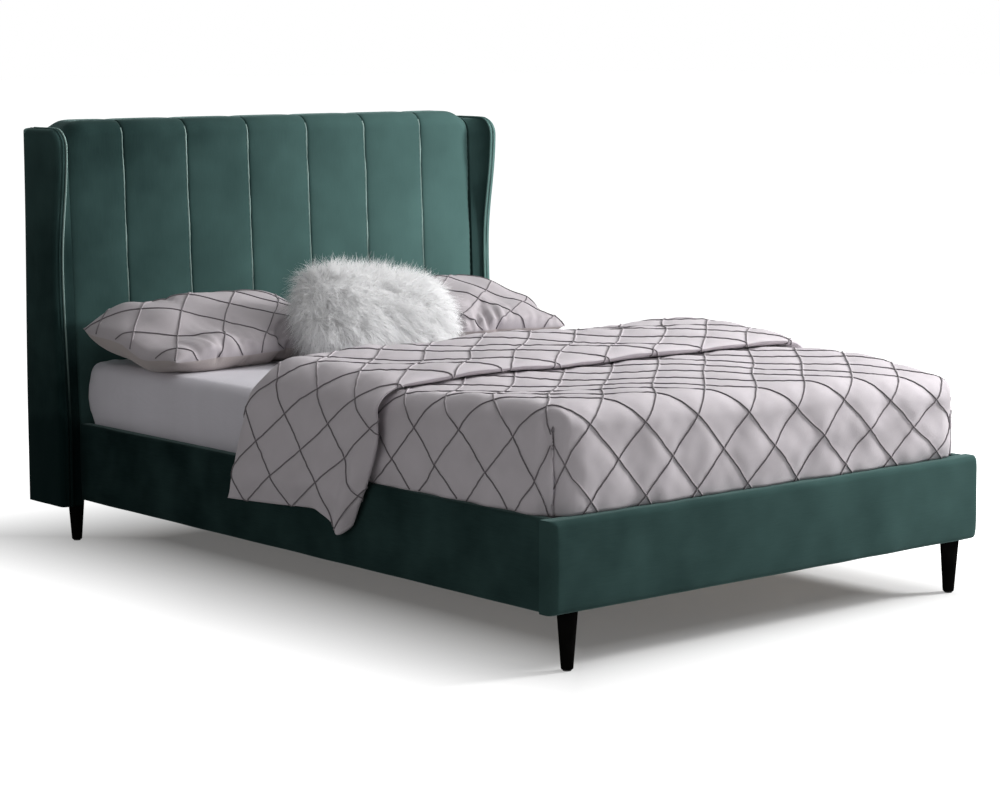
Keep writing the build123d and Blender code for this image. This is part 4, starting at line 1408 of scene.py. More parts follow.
@dataclass
class Duvet:
    """The pintucked duvet, tucked in at the foot and folded back at the head."""

    foot_y: float = -1.0325
    half: float = 0.700
    shoulder: float = 0.060
    hem_z: float = 0.3485
    clear: float = 0.0012
    bulge: float = 0.004
    sway: tuple[SoftNoise, ...] = (SoftNoise(53, 0.17, 0.0024), SoftNoise(54, 0.06, 0.0005))
    rumple: tuple[SoftNoise, ...] = (SoftNoise(51, 0.50, 0.0035), SoftNoise(52, 0.13, 0.0004))
    settle: float = 0.50
    head_gap: float = 0.05
    hang_top: float = 0.580
    foot_top: float = 0.602
    foot_sink: float = 0.046
    head_top: float = 0.572
    head_rise: float = 0.008
    fold_half: float = 0.754
    fold_shoulder: float = 0.115
    fold_drop: float = 0.085
    fold_layer: float = 0.036
    fold_hem_z: float = 0.243
    fold_front_y: float = -0.4545
    fold_ridge_y: float = 0.062
    fold_lift: float = 0.040
    fold_base: float = 0.574
    fold_slope: float = 0.035
    fold_rumple: tuple[SoftNoise, ...] = (SoftNoise(57, 0.40, 0.003), SoftNoise(58, 0.12, 0.0004))
    fold_wave: float = 0.008
    fold_pitch: float = 0.090
    fold_tip: float = 0.056
    fold_sway: SoftNoise = SoftNoise(59, 0.24, 0.005)
    side_rim: float = 0.012
    hem_rim: float = 0.060
    ridge_rim: float = 0.046
    hem_sweep: float = 0.115
    ridge_dip: float = 0.055
    ridge_sweep: float = 0.120
    corner: float = 0.092
    corner_cloth: float = 0.078
    pleat: float = 0.035
    crease_lap: float = 0.0130
    crease_tuck: float = 0.0290
    crease_groove: float = 0.018
    crease_knot: float = 0.010
    crease_pull: float = 0.0024
    crease_edge: float = 0.0013
    crease_roll: float = 0.0022
    cell: float = 0.0068

    def mattress_half(self) -> float:
        """Half the width over the fitted sheet."""
        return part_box("fitted_sheet")[1].x

    def sheet_top(self) -> float:
        """The height of the fitted sheet's top."""
        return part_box("fitted_sheet")[1].z

    def top(self, x: Array, y: Array) -> Array:
        """The height of the lower layer's top, which sinks towards its right foot corner."""
        across = np.clip((x + self.half) / (2 * self.half), 0, 1)
        along = np.clip((y - self.foot_y) / self.settle, 0, 1)
        foot = self.foot_top - self.foot_sink * across
        head = self.head_top + self.head_rise * across
        return foot + (head - foot) * smooth_step(along) + summed(self.rumple, x, y)

    def body_point(self, s: Array, t: Array, outer: bool) -> Array:
        """A point of the lower layer.

        Args:
            s: Distances across the cloth from the bed's middle.
            t: Distances along the cloth from the middle of the foot's shoulder. Below zero
                the cloth hangs down at the foot.
            outer: Whether the point is on the outside.

        Returns:
            Points by 3.
        """
        radius = self.shoulder - (0.0 if outer else self.half - self.mattress_half() - self.clear)
        flat = self.half - self.shoulder
        beyond = np.maximum(np.abs(s) - flat, 0.0)
        foot = np.maximum(-t, 0.0)
        drop = np.maximum(beyond, foot)
        turn = np.clip(drop / self.shoulder, 0, QUARTER)
        hang = np.maximum(drop - self.shoulder * QUARTER, 0.0)
        reach = radius * np.sin(turn)
        fall = radius * (1 - np.cos(turn)) + hang
        angle, swallowed = self.corner_lay(beyond, foot)
        in_corner = (beyond > 0) & (foot > 0)
        angle = np.where(in_corner, angle, np.where(foot > 0, QUARTER, 0.0))
        if outer:
            reach = reach + np.where(in_corner, self.corner_crease(angle, drop, swallowed), 0.0)
        x = np.sign(s) * (np.minimum(np.abs(s), flat) + reach * np.cos(angle))
        y = self.foot_y + self.shoulder + np.maximum(t, 0.0) - reach * np.sin(angle)
        if outer:
            x, y = self.rounded(x, y)
            base = self.top(x, y)
        else:
            base = np.full(np.broadcast(x, y).shape, self.sheet_top() + self.clear)
        depth = np.maximum(base - self.hem_z - radius, 1e-6)
        limit = self.hang_length()
        z = np.where(hang > 0, base - radius - hang / limit * depth, base - fall)
        if outer:
            sway = summed(self.sway, s, t) * smooth_step(drop / 0.12)
            bulge = self.bulge * np.sin(np.clip(hang / limit, 0, 1) * math.pi)
            out = (sway + bulge) * (drop > 0)
            x = x + np.sign(s) * out * np.cos(angle)
            y = y - out * np.sin(angle)
        return np.stack([x, y, z], -1)

    def rounded(self, x: Array, y: Array) -> tuple[Array, Array]:
        """Places in plan, drawn in at the foot's corners so that these turn widely.

        Args:
            x: Places across the bed.
            y: Places along the bed.

        Returns:
            The new places.
        """
        centre_x, centre_y = self.half - self.corner, self.foot_y + self.corner
        dx = np.maximum(np.abs(x) - centre_x, 0.0)
        dy = np.maximum(centre_y - y, 0.0)
        away = np.maximum(np.hypot(dx, dy), 1e-6)
        start, room = self.corner * 0.72, self.corner * 0.26
        near = np.where(away > start, start + room * np.tanh((away - start) / room), away)
        share = 1 + (near / away - 1) * 2 * dx * dy / away**2
        return x - np.sign(x) * dx * (1 - share), y + dy * (1 - share)

    def corner_lay(self, beyond: Array, foot: Array) -> tuple[Array, Array]:
        """Where the cloth lies round a corner of the foot.

        Args:
            beyond: Distances past the flat top at the side.
            foot: Distances past the flat top at the foot.

        Returns:
            The place round the corner, from the side at 0 to the foot at a right angle, and
            how much of the corner's surplus the pleat has swallowed, from 0 to 1.
        """
        near, far = np.minimum(beyond, foot), np.maximum(beyond, foot)
        laid = near / np.maximum(np.minimum(far, self.corner_cloth), 1e-9)
        swallowed = np.clip((near - self.corner_cloth) / np.maximum(far - self.corner_cloth, 1e-9), 0, 1)
        swallowed = np.where(far > self.corner_cloth + 1e-6, swallowed, 0.0)
        share = (QUARTER / 2 - self.pleat) * np.clip(laid, 0, 1) + self.pleat * swallowed
        return np.where(beyond >= foot, share, QUARTER - share), swallowed

    def body_shown(self, s: Array, t: Array) -> Array:
        """Whether places of the lower layer lie outside the corners' pleats."""
        beyond = np.maximum(np.abs(s) - self.half + self.shoulder, 0.0)
        return self.corner_lay(beyond, np.maximum(-t, 0.0))[1] <= 0.02

    def corner_crease(self, angle: Array, drop: Array, swallowed: Array) -> Array:
        """How far the cloth stands out at a corner of the foot, where its surplus is tucked in.

        Args:
            angle: The place round the corner, from the side at 0 to the foot at a right angle.
            drop: The distance down the cloth.
            swallowed: How much of the corner's surplus the pleat has swallowed.

        Returns:
            The distance outwards.
        """
        away = angle - QUARTER / 2
        lap = self.crease_lap * np.exp(-np.abs(away) / 0.20)
        tuck = -self.crease_tuck * np.exp(-np.abs(away) / 0.21)
        groove = self.crease_groove * np.sin(math.pi * np.clip(swallowed, 0, 1))
        knot = self.crease_knot * np.cos(9 * away) * bell(drop, 0.082, 0.024) * np.exp(-np.abs(away) / 0.5)
        pulls = self.crease_pull * np.cos(46 * drop + 5 * away) * np.exp(-np.abs(away) / 0.35)
        step = np.where(away < 0, lap, tuck) - groove
        return (step + pulls) * smooth_step((drop - 0.060) / 0.04) + knot

    def hang_length(self) -> float:
        """The length of cloth that hangs straight down from the shoulder to the rails."""
        return self.hang_top - self.shoulder - self.hem_z

    def body_surface(self, pattern: PintuckPattern) -> Callable:
        """The lower layer's outside with the swell between its tucks.

        Args:
            pattern: The tucks.

        Returns:
            The function that gives its points.
        """
        skin = partial(self.body_point, outer=True)

        def surface(s: Array, t: Array) -> Array:
            """Points for distances across and along."""
            return skin(s, t) + skin_normals(skin, s, t, 0.004) * pattern.height(s, t)[..., None]

        return surface

    def fold_edge(self, drop: Array) -> tuple[Array, Array]:
        """Y of the fold's hem and of its ridge for a drop below its top."""
        hem = self.fold_front_y + self.hem_sweep * np.clip((drop - 0.15) / 0.24, 0, 1) ** 1.5
        dip = self.ridge_dip * bell(drop, 0.03, 0.05)
        sweep = self.ridge_sweep * np.clip((drop - 0.04) / 0.33, 0, 1) ** 1.9
        return hem, self.fold_ridge_y - dip + sweep

    def fold_length(self) -> float:
        """The fold's length from its hem to its ridge."""
        return self.fold_ridge_y - self.fold_front_y

    def fold_arc(self) -> float:
        """The length of cloth over the fold's shoulder."""
        return (self.fold_shoulder + self.fold_drop) / 2 * QUARTER

    def fold_reach(self) -> float:
        """Half the fold's width in the flat cloth."""
        hang = self.fold_base + self.fold_lift - self.fold_drop - self.fold_hem_z
        return self.fold_half - self.fold_shoulder + self.fold_arc() + hang

    def fold_point(self, s: Array, t: Array, outer: bool) -> Array:
        """A point of the folded-back head end.

        Args:
            s: Distances across the cloth from the bed's middle.
            t: Distances along the cloth from its hem to its ridge.
            outer: Whether the point is on the outside.

        Returns:
            Points by 3.
        """
        flat = self.fold_half - self.fold_shoulder
        a = np.maximum(np.abs(s) - flat, 0.0)
        turn = np.clip(a / self.fold_arc(), 0, 1) * QUARTER
        hang = np.maximum(a - self.fold_arc(), 0.0)
        inwards = 0.0 if outer else self.fold_layer
        share = t / self.fold_length()
        drop = self.fold_drop * (1 - np.cos(turn)) + hang
        hem, ridge = self.fold_edge(drop)
        y = hem + (ridge - hem) * share
        x = np.minimum(np.abs(s), flat) + (self.fold_shoulder - inwards) * np.sin(turn)
        limit = self.fold_reach() - flat - self.fold_arc()
        down = np.clip(hang / limit, 0, 1)
        base = self.top(np.clip(np.sign(s) * x, -0.6, 0.6), y)
        if outer:
            rise = 0.80 + 0.20 * smooth_step(share * 1.4)
            base = base + self.fold_lift * rise + summed(self.fold_rumple, s, t)
        else:
            under = smooth_step((share - 0.72) / 0.2)
            base = (base + 0.002) * (1 - under) + (self.sheet_top() + self.clear) * under
        fall = self.fold_drop - inwards
        tip = self.fold_tip * bell(t, 0.050, 0.058) * smooth_step(down)
        hem_z = self.fold_hem_z + self.fold_slope * (0.83 - share)
        depth = np.maximum(base - fall - hem_z, 1e-6) + tip
        z = np.where(hang > 0, base - fall - down * depth, base - fall * (1 - np.cos(turn)))
        wave = np.cos(2 * math.pi * (t - self.fold_pitch / 2) / self.fold_pitch)
        folds = self.fold_wave * wave * bell(t, 0.06, 0.080) + self.fold_sway(t, drop * 0.3)
        x = x + (folds * smooth_step(down * 1.3 + 0.1) - 0.004 * down) * (a > 0)
        return np.stack([np.sign(s) * x, y, z], -1)

    def fold_layers(
        self, s: Array, t: Array, pattern: PintuckPattern
    ) -> tuple[Array, Array]:
        """The fold's outside, thinner towards its hems, and its inside, both before their rims close.

        Args:
            s: Distances across the cloth.
            t: Distances along the cloth.
            pattern: The tucks.

        Returns:
            Both layers, as points by 3.
        """
        skin = partial(self.fold_point, outer=True)
        outer = skin(s, t) + skin_normals(skin, s, t, 0.004) * pattern.height(s, t)[..., None]
        inner = self.fold_point(s, t, False)
        at_side = 0.45 + 0.55 * smooth_step((self.fold_reach() - np.abs(s)) / 0.08)
        thin = np.minimum(at_side, 0.88 + 0.12 * smooth_step(t / 0.11))
        return inner + (outer - inner) * thin[..., None], inner

    def fold_surface(self, pattern: PintuckPattern) -> Callable:
        """The fold's skin. Past a rim it runs on round to the inside.

        Args:
            pattern: The tucks.

        Returns:
            The function that gives its points.
        """
        reach, length = self.fold_reach(), self.fold_length()

        def surface(s: Array, t: Array) -> Array:
            """Points for distances across and along."""
            inside = (t < 0) | (t > length) | (np.abs(s) > reach)
            across = np.where(np.abs(s) > reach, np.sign(s) * (2 * reach - np.abs(s)), s)
            along = np.where(t < 0, -t, np.where(t > length, 2 * length - t, t))
            outer, inner = self.fold_layers(across, along, pattern)
            share = self.rim(across, along)
            share = np.where(inside, 1 - share, share)
            return outer + (inner - outer) * share[..., None]

        return surface

    def rim(self, s: Array, t: Array) -> Array:
        """How far the outside sinks to meet the inside at the rims, from 0 to a half."""
        share = np.zeros(np.broadcast(s, t).shape)
        at_side, at_ridge = self.fold_reach() - np.abs(s), self.fold_length() - t
        for away, radius in ((at_side, self.side_rim), (t, self.hem_rim), (at_ridge, self.ridge_rim)):
            e = np.clip(away / radius, 0, 1)
            share = np.maximum(share, 0.5 * (1 - np.sqrt(np.clip(1 - (1 - e) ** 2, 0, 1))))
        return share

    def make_body(self, maker: MeshMaker, pattern: PintuckPattern) -> None:
        """Adds the lower layer.

        Args:
            maker: Takes the meshes.
            pattern: The tucks.
        """
        flat = self.half - self.shoulder
        limit = self.shoulder * QUARTER + self.hang_length()
        s = span(-flat - limit, flat + limit, self.cell)
        head = self.fold_ridge_y - self.head_gap - self.foot_y - self.shoulder
        t = span(-limit, head, self.cell)
        grid_s, grid_t = np.meshgrid(s, t, indexing="ij")
        surface = self.body_surface(pattern)
        outer = surface(grid_s, grid_t)
        inner = self.body_point(grid_s, grid_t, False)
        cloth = np.stack([grid_s, grid_t], -1)
        self.close_shell(maker, outer, inner, cloth)
        self.crease_line(maker, surface, np.linspace(self.corner_cloth + 0.004, limit - 0.003, 40))
        reach = (-flat - limit, flat + limit)
        pattern.stitch(maker, surface, reach, (-limit, self.fold_length() + 0.2), 61, self.body_shown)

    def crease_line(self, maker: MeshMaker, surface: Callable, down: Array) -> None:
        """Adds dark tubes along the rolled edges where the corners of the foot are tucked in, painted shade
        for the slits there.

        Args:
            maker: Takes the meshes.
            surface: Gives points for distances across and along.
            down: Distances down the corners.
        """
        for side in (-1, 1):
            path = surface(side * (self.half - self.shoulder + down), -down)
            outwards = np.broadcast_to(np.array([side * 0.7071, -0.7071, 0.0]), path.shape)
            share = np.linspace(0, 1, len(down))
            radius = self.crease_edge + self.crease_roll * (1 - share) ** 1.5 * smooth_step(share / 0.06)
            # Slot 1 is the painted-shade cloth.
            maker.ribbon_tube(path + outwards * 0.0015, outwards, radius, slot=1)

    def make_fold(self, maker: MeshMaker, pattern: PintuckPattern) -> None:
        """Adds the folded-back head end.

        Args:
            maker: Takes the meshes.
            pattern: The tucks.
        """
        reach, length = self.fold_reach(), self.fold_length()
        s = span(-reach, reach, self.cell)
        t = span(0, length, self.cell)
        near = np.array([0.0005, 0.0015, 0.0035, 0.006])
        s = np.unique(np.concatenate([s, -reach + near, reach - near]))
        t = np.unique(np.concatenate([t, near, length - near]))
        grid_s, grid_t = np.meshgrid(s, t, indexing="ij")
        surface = self.fold_surface(pattern)
        outer = surface(grid_s, grid_t)
        top, below = self.fold_layers(grid_s, grid_t, pattern)
        inner = below + (top - below) * self.rim(grid_s, grid_t)[..., None]
        self.close_shell(maker, outer, inner, np.stack([grid_s, grid_t], -1))
        pattern.stitch(maker, surface, (-reach - 0.006, reach + 0.006), (-0.007, length + 0.015), 67)

    @staticmethod
    def close_shell(maker: MeshMaker, outer: Array, inner: Array, cloth: Array) -> None:
        """Joins an outside and an inside grid along their rims.

        Args:
            maker: Takes the meshes.
            outer: The outside, rows by columns by 3.
            inner: The inside, of the same shape.
            cloth: The place of each point in the flat cloth.
        """
        rows, columns = outer.shape[:2]
        first = maker.grid(outer, cloth=cloth)
        second = maker.grid(inner, flip=True, cloth=cloth)
        grid = np.arange(rows * columns).reshape(rows, columns)
        index = np.concatenate([grid[0], grid[1:, -1], grid[-1, -2::-1], grid[-2:0:-1, 0]])
        after = np.roll(index, -1)
        maker.add_faces(np.stack([first + after, first + index, second + index, second + after], -1))

    def build(self, palette: Palette) -> None:
        """Makes the duvet.

        Args:
            palette: The finishes.
        """
        maker = MeshMaker()
        self.make_body(maker, PintuckPattern(seed=5))
        self.make_fold(maker, PintuckPattern(seed=7, wander=0.005))
        piece = maker.build("duvet_cover", palette.pick("pintuck_cotton", "pintuck_stitch_line"))
        enlist(piece, "duvet", ["duvet"])


# Pillows and cushion


@dataclass
class StuffedCase:
    """A closed case of two layers, blown up by its filling."""

    length: float
    depth: float
    thickness: float
    cell: float
    seed: int
    rounding: float = 0.0
    start: float = 0.82
    CLOTH: ClassVar[dict[str, float | bool]] = {
        "quality": 6,
        "mass": 0.35,
        "tension_stiffness": 30,
        "compression_stiffness": 30,
        "shear_stiffness": 20,
        "tension_damping": 25,
        "compression_damping": 25,
        "shear_damping": 25,
        "bending_stiffness": 0.6,
        "air_damping": 4,
        "use_pressure": True,
        "uniform_pressure_force": 4.0,
    }

    def envelope(self) -> tuple[Array, Array]:
        """The grid of both layers before filling, and each grid point's index in the mesh."""
        columns = int(self.length / self.cell) + 1
        rows = int(self.depth / self.cell) + 1
        u, v = np.meshgrid(np.linspace(-1, 1, rows), np.linspace(-1, 1, columns), indexing="ij")
        dome = np.sqrt(np.clip((1 - np.abs(u) ** 3.2) * (1 - np.abs(v) ** 4.4), 0, 1))
        noise = SoftNoise(self.seed, 0.8)
        lift = self.start * self.thickness / 2 * dome * (1 + 0.05 * noise(u, v))
        draw = (1 - 0.04 * (1 - np.abs(u) ** 2) * np.abs(v) ** 3) * np.sqrt(1 - self.rounding * u**2 / 2)
        pull = (1 - 0.04 * (1 - np.abs(v) ** 2) * np.abs(u) ** 3) * np.sqrt(1 - self.rounding * v**2 / 2)
        plan = np.stack([v * self.length / 2 * draw, u * self.depth / 2 * pull], -1)
        layers = np.stack([np.concatenate([plan, height[..., None]], -1) for height in (lift, -lift)])
        upper = np.arange(rows * columns).reshape(rows, columns)
        return layers, np.stack([upper, lower_index(rows, columns)])

    def filled(self) -> Array:
        """Both layers after filling, scaled to the case's size: 2 by rows by columns by 3."""
        layers, index = self.envelope()
        count = int(index.max()) + 1
        points = np.zeros((count, 3))
        points[index[1].ravel()] = layers[1].reshape(-1, 3)
        points[index[0].ravel()] = layers[0].reshape(-1, 3)
        points = self.blow_up(points, index)
        low, high = points.min(0), points.max(0)
        size = np.array([self.length, self.depth, self.thickness])
        points = (points - (low + high) / 2) * size / (high - low)
        return points[index]

    def blow_up(self, points: Array, index: Array) -> Array:
        """Runs the cloth simulation that fills the case and returns its points.

        Args:
            points: The case's points before filling.
            index: The indices of both layers' points.

        Returns:
            The points after filling.
        """
        faces = np.vstack([quads(index[0]), quads(index[1])[:, ::-1]]).tolist()
        mesh = bpy.data.meshes.new("case")
        mesh.from_pydata(points.tolist(), [], faces)
        mesh.update()
        case = bpy.data.objects.new("case", mesh)
        bpy.context.scene.collection.objects.link(case)
        cloth = case.modifiers.new("cloth", "CLOTH")
        for setting, value in self.CLOTH.items():
            setattr(cloth.settings, setting, value)
        cloth.settings.effector_weights.gravity = 0.0
        cloth.collision_settings.use_collision = False
        cloth.point_cache.frame_start = 1
        cloth.point_cache.frame_end = 22
        scene = bpy.context.scene
        for step in range(1, 21):
            scene.frame_set(step)
        shown = case.evaluated_get(bpy.context.evaluated_depsgraph_get())
        result = np.empty(len(shown.data.vertices) * 3)
        shown.data.vertices.foreach_get("co", result)
        scene.frame_set(1)
        bpy.data.objects.remove(case)
        bpy.data.meshes.remove(mesh)
        return result.reshape(-1, 3)


def refined(grid: Array, times: int = 2) -> Array:
    """A grid with more points, smoothly interpolated along rows and columns.

    Args:
        grid: Rows by columns by 3.
        times: How many steps each step becomes.

    Returns:
        The finer grid.
    """
    for axis in (0, 1):
        moved = np.moveaxis(grid, axis, 0)
        count = len(moved)
        places = np.linspace(0, count - 1, (count - 1) * times + 1)
        base = np.clip(places.astype(int), 0, count - 2)
        f = (places - base)[:, None, None]
        before, after = np.maximum(base - 1, 0), np.minimum(base + 2, count - 1)
        a, b, c, d = moved[before], moved[base], moved[base + 1], moved[after]
        curve = b + 0.5 * f * (c - a + f * (2 * a - 5 * b + 4 * c - d + f * (3 * (b - c) + d - a)))
        grid = np.moveaxis(curve, 0, axis)
    return grid


@dataclass
class Pillow:
    """One standard pillow in a pintucked case, tilted up against the headboard."""

    side: int
    length: float = 0.705
    depth: float = 0.405
    thickness: float = 0.186
    tilt: float = math.radians(20)
    turn: float = math.radians(5)
    centre: Triple = (0.372, 0.6883, 0.5835)
    front_rise: float = 0.040
    gather_place: Pair = (-0.22, 0.10)
    rounding: float = 0.38
    ear_drop: float = 0.050
    gather_height: float = 0.0060
    gather_reach: float = 0.045
    gather_width: float = 0.11
    swell: float = 0.0028
    rest_gap: float = 0.0008
    head_gap: float = 0.004

    def placed(self, points: Array) -> Array:
        """Points moved to the pillow's place, flat on the sheet and clear of the headboard.

        Args:
            points: Points about the pillow's own middle.

        Returns:
            The moved points.
        """
        turn = Euler((0, 0, -self.turn * self.side)).to_matrix() @ Euler((self.tilt, 0, 0)).to_matrix()
        middle = np.array([self.side * self.centre[0], self.centre[1], self.centre[2]])
        moved = points @ np.array(turn).T + middle
        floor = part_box("fitted_sheet")[1].z + self.rest_gap
        below = floor - moved[..., 2]
        spread = np.clip(below, 0, None)
        moved[..., 2] = np.where(below > 0, floor + 0.0004 * np.sin(moved[..., 0] * 90), moved[..., 2])
        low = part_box("channel_pad_1")[0]
        face = raked(low, moved[..., 2]) - self.head_gap
        moved[..., 1] = np.minimum(moved[..., 1] - 0.02 * spread, face)
        return moved

    def build(self, palette: Palette) -> None:
        """Makes the pillow.

        Args:
            palette: The finishes.
        """
        name = side_name(self.side)
        case = StuffedCase(self.length, self.depth, self.thickness, 0.0125, 71 + self.side, self.rounding)
        layers = case.filled()
        layers = np.stack([self.gathered(refined(layers[0])), refined(layers[1])])
        placed = self.placed(self.drooped(layers))
        rows, columns = placed.shape[1:3]
        v = np.linspace(-self.length / 2, self.length / 2, columns)
        u = np.linspace(-self.depth / 2, self.depth / 2, rows)
        cloth = np.stack(np.meshgrid(v, u, indexing="xy"), -1)
        maker = MeshMaker()
        maker.sandwich(placed[0], placed[1], cloth)
        # The lower layer takes slot 2, the darker taupe cotton: partly the taupe hem, partly painted shade on
        # the underside.
        upper = (rows - 1) * (columns - 1)
        maker.slots[upper:] = [2] * (len(maker.slots) - upper)
        pattern = PintuckPattern(seed=9 + self.side, puff=0.0, spacing=0.112)
        across, along = self.length / 2 - 0.0008, self.depth / 2 - 0.0008
        pattern.stitch(maker, self.sampler(placed[0]), (-across, across), (-along, along), 73)
        # The upper layer takes the darker copy of the duvet's cotton (painted shade), the tucks the
        # painted-shade tubes.
        cottons = palette.pick("pillow_cotton", "pintuck_stitch_line", "pillow_back_cotton")
        piece = maker.build(f"pillow_case_{name}", cottons)
        enlist(piece, f"pillow_{name}", [f"pillow_{name}"])

    def drooped(self, layers: Array) -> Array:
        """Layers whose upper corners hang under the pillow's plane and whose front seam rises from it.

        Args:
            layers: Two by rows by columns by 3.

        Returns:
            The moved layers.
        """
        across = np.abs(layers[..., 0]) / (self.length / 2)
        back = np.clip(layers[..., 1] / (self.depth / 2), 0, 1)
        moved = layers.copy()
        moved[..., 2] -= self.ear_drop * smooth_step((across - 0.60) / 0.40) * back
        front = np.clip(-layers[..., 1] / (self.depth / 2), 0, 1)
        moved[..., 2] += self.front_rise * smooth_step((front - 0.35) / 0.65)
        return moved

    def gathered(self, layer: Array) -> Array:
        """A layer with the gathers that its front seam draws into the cloth.

        Args:
            layer: Rows by columns by 3.

        Returns:
            The new layer.
        """
        rows, columns = layer.shape[:2]
        u = np.linspace(-self.depth / 2, self.depth / 2, rows)[:, None]
        v = np.linspace(-self.length / 2, self.length / 2, columns)[None, :]
        from_seam = u + self.depth / 2
        gather = np.exp(-from_seam / self.gather_reach) * smooth_step(from_seam / 0.010)
        where = 0.30 + bell(v, self.gather_place[self.side > 0], self.gather_width)
        out = self.gather_height * gather * where * SoftNoise(79 + self.side, 0.035)(v, u * 0.15)
        out = out + self.swell * SoftNoise(83 + self.side, 0.16)(v, u) * smooth_step(from_seam / 0.06)
        layer = layer.copy()
        layer[..., 2] += out
        return layer

    def sampler(self, layer: Array) -> Callable:
        """Gives points of a layer for distances across and along the case.

        Args:
            layer: Rows by columns by 3.

        Returns:
            The function that gives them.
        """
        rows, columns = layer.shape[:2]

        def surface(s: Array, t: Array) -> Array:
            """Points for distances across and along."""
            c = np.clip((s / self.length + 0.5) * (columns - 1), 0, columns - 1.001)
            r = np.clip((t / self.depth + 0.5) * (rows - 1), 0, rows - 1.001)
            return between(layer, r, c)

        return surface


@dataclass
class FurCushion:
    """A small cushion in long white pile."""

    length: float = 0.490
    depth: float = 0.292
    thickness: float = 0.150
    centre: Pair = (0.4293, 0.6260)
    lean: float = math.radians(64)
    roll: float = math.radians(-10)
    strands: int = 44000
    pile: float = 0.042
    root: float = 0.0007
    joints: int = 5
    brush: Triple = (0.15, -0.1, -1.0)
    combed: float = 0.70
    tufted: float = 0.20
    loose: float = 0.30
    droop: float = 0.55
    curl: float = 0.4
    seed: int = 97

    def build(self, palette: Palette) -> None:
        """Makes the backing and its pile.

        Args:
            palette: The finishes.
        """
        case = StuffedCase(self.length, self.depth, self.thickness, 0.011, 91, rounding=0.75)
        layers = case.filled()
        layers[..., 2] -= layers[..., 2].mean(0)
        low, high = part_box("fur_cushion")
        middle = np.array([(low.x + high.x) / 2, *self.centre])
        turn = Euler((self.lean, 0, 0)).to_matrix() @ Euler((0, 0, self.roll)).to_matrix()
        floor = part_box("fitted_sheet")[1].z + 0.001
        placed = layers @ np.array(turn).T + middle
        placed[..., 2] = np.maximum(placed[..., 2], floor)
        maker = MeshMaker()
        maker.sandwich(placed[0], placed[1], placed[0][..., :2])
        first, soft = self.grow(maker, placed, floor)
        piece = maker.build("fur_cushion_pile", palette.pick("white_fur_backing", "white_fur"))
        normals = np.empty(len(piece.data.vertices) * 3)
        piece.data.vertices.foreach_get("normal", normals)
        normals = normals.reshape(-1, 3)
        normals[first:] = soft
        piece.data.normals_split_custom_set_from_vertices(normals.tolist())
        enlist(piece, "fur_cushion", ["fur_cushion"])

    def grow(self, maker: MeshMaker, layers: Array, floor: float) -> tuple[int, Array]:
        """Adds the strands: thin tapered blades that droop and gather in tufts.

        Args:
            maker: Takes the strands.
            layers: The two layers of the backing.
            floor: The height of what the cushion stands on.

        Returns:
            The index of the first strand point, and the shading normal of each strand point.
        """
        draws = np.random.default_rng(self.seed)
        rows, columns = layers.shape[1:3]
        count = self.strands
        which = draws.integers(0, 2, count)
        r = draws.uniform(0, rows - 1.001, count)
        c = draws.uniform(0, columns - 1.001, count)
        normals = np.stack([-grid_normals(layers[0]), grid_normals(layers[1])])
        root = between(layers, r, c, which)
        normal = unit(between(normals, r, c, which))
        outwards = (root - layers.reshape(-1, 3).mean(0)) * normal
        normal = np.where(outwards.sum(-1, keepdims=True) < 0, -normal, normal)
        tuft = SoftNoise(101, 0.035)
        sway = np.stack([tuft(*root.T), SoftNoise(103, 0.030)(*root.T), tuft(*(root.T + 3.0))], -1)
        loose = draws.normal(size=(count, 3))
        brush = np.array(self.brush)
        comb = brush - normal * (normal @ brush)[:, None]
        comb = comb * np.clip(1.0 - 1.3 * normal[:, 2:3], 0.1, 1.0)
        heading = unit(normal + self.combed * comb + self.tufted * sway + self.loose * loose)
        reach = self.pile * draws.triangular(0.5, 0.8, 1.5, count)[:, None]
        steps = np.linspace(0, 1, self.joints)
        droop = np.array([0.0, 0.0, -1.0]) * draws.uniform(0.25, 0.75, count)[:, None]
        curl = 0.25 * draws.normal(size=(count, 3))
        bends = self.droop * droop + self.curl * curl
        spine = np.stack([root + reach * (k * heading + k * k * bends) for k in steps], axis=1)
        spine[..., 2] = np.maximum(spine[..., 2], floor)
        side = unit(np.cross(heading, normal) + 0.5 * draws.normal(size=(count, 3)))
        side = side * np.where((np.cross(side, heading) * normal).sum(-1, keepdims=True) < 0, -1.0, 1.0)
        width = self.root * draws.uniform(0.6, 1.2, count)[:, None, None] * (1 - 0.85 * steps)[None, :, None]
        side = side[:, None] * width
        first = maker.add_points(np.stack([spine - side, spine + side], axis=2))
        soft = unit(normal * 0.6 + heading * 0.2 + np.array([0.30, -0.15, 0.60]))
        strand = first + np.arange(count)[:, None, None] * (2 * self.joints)
        quads = strand + np.arange(self.joints - 1)[None, :, None] * 2 + np.array([0, 1, 3, 2])
        maker.add_faces(quads.reshape(-1, 4), 1)
        return first, np.repeat(soft, 2 * self.joints, axis=0)


# Studio


@dataclass(frozen=True)
class SoftBox:
    """A square lamp."""

    name: str
    power: float
    place: Triple
    size: float

    def hang(self, aim: Sequence[float]) -> None:
        """Adds the lamp, turned to a point.

        Args:
            aim: The point.
        """
        light = bpy.data.lights.new(self.name, "AREA")
        light.energy = self.power
        light.shape = "SQUARE"
        light.size = self.size
        lamp = bpy.data.objects.new(self.name, light)
        lamp.location = self.place
        lamp.rotation_euler = (Vector(self.place) - Vector(aim)).to_track_quat("Z", "Y").to_euler()
        bpy.context.scene.collection.objects.link(lamp)


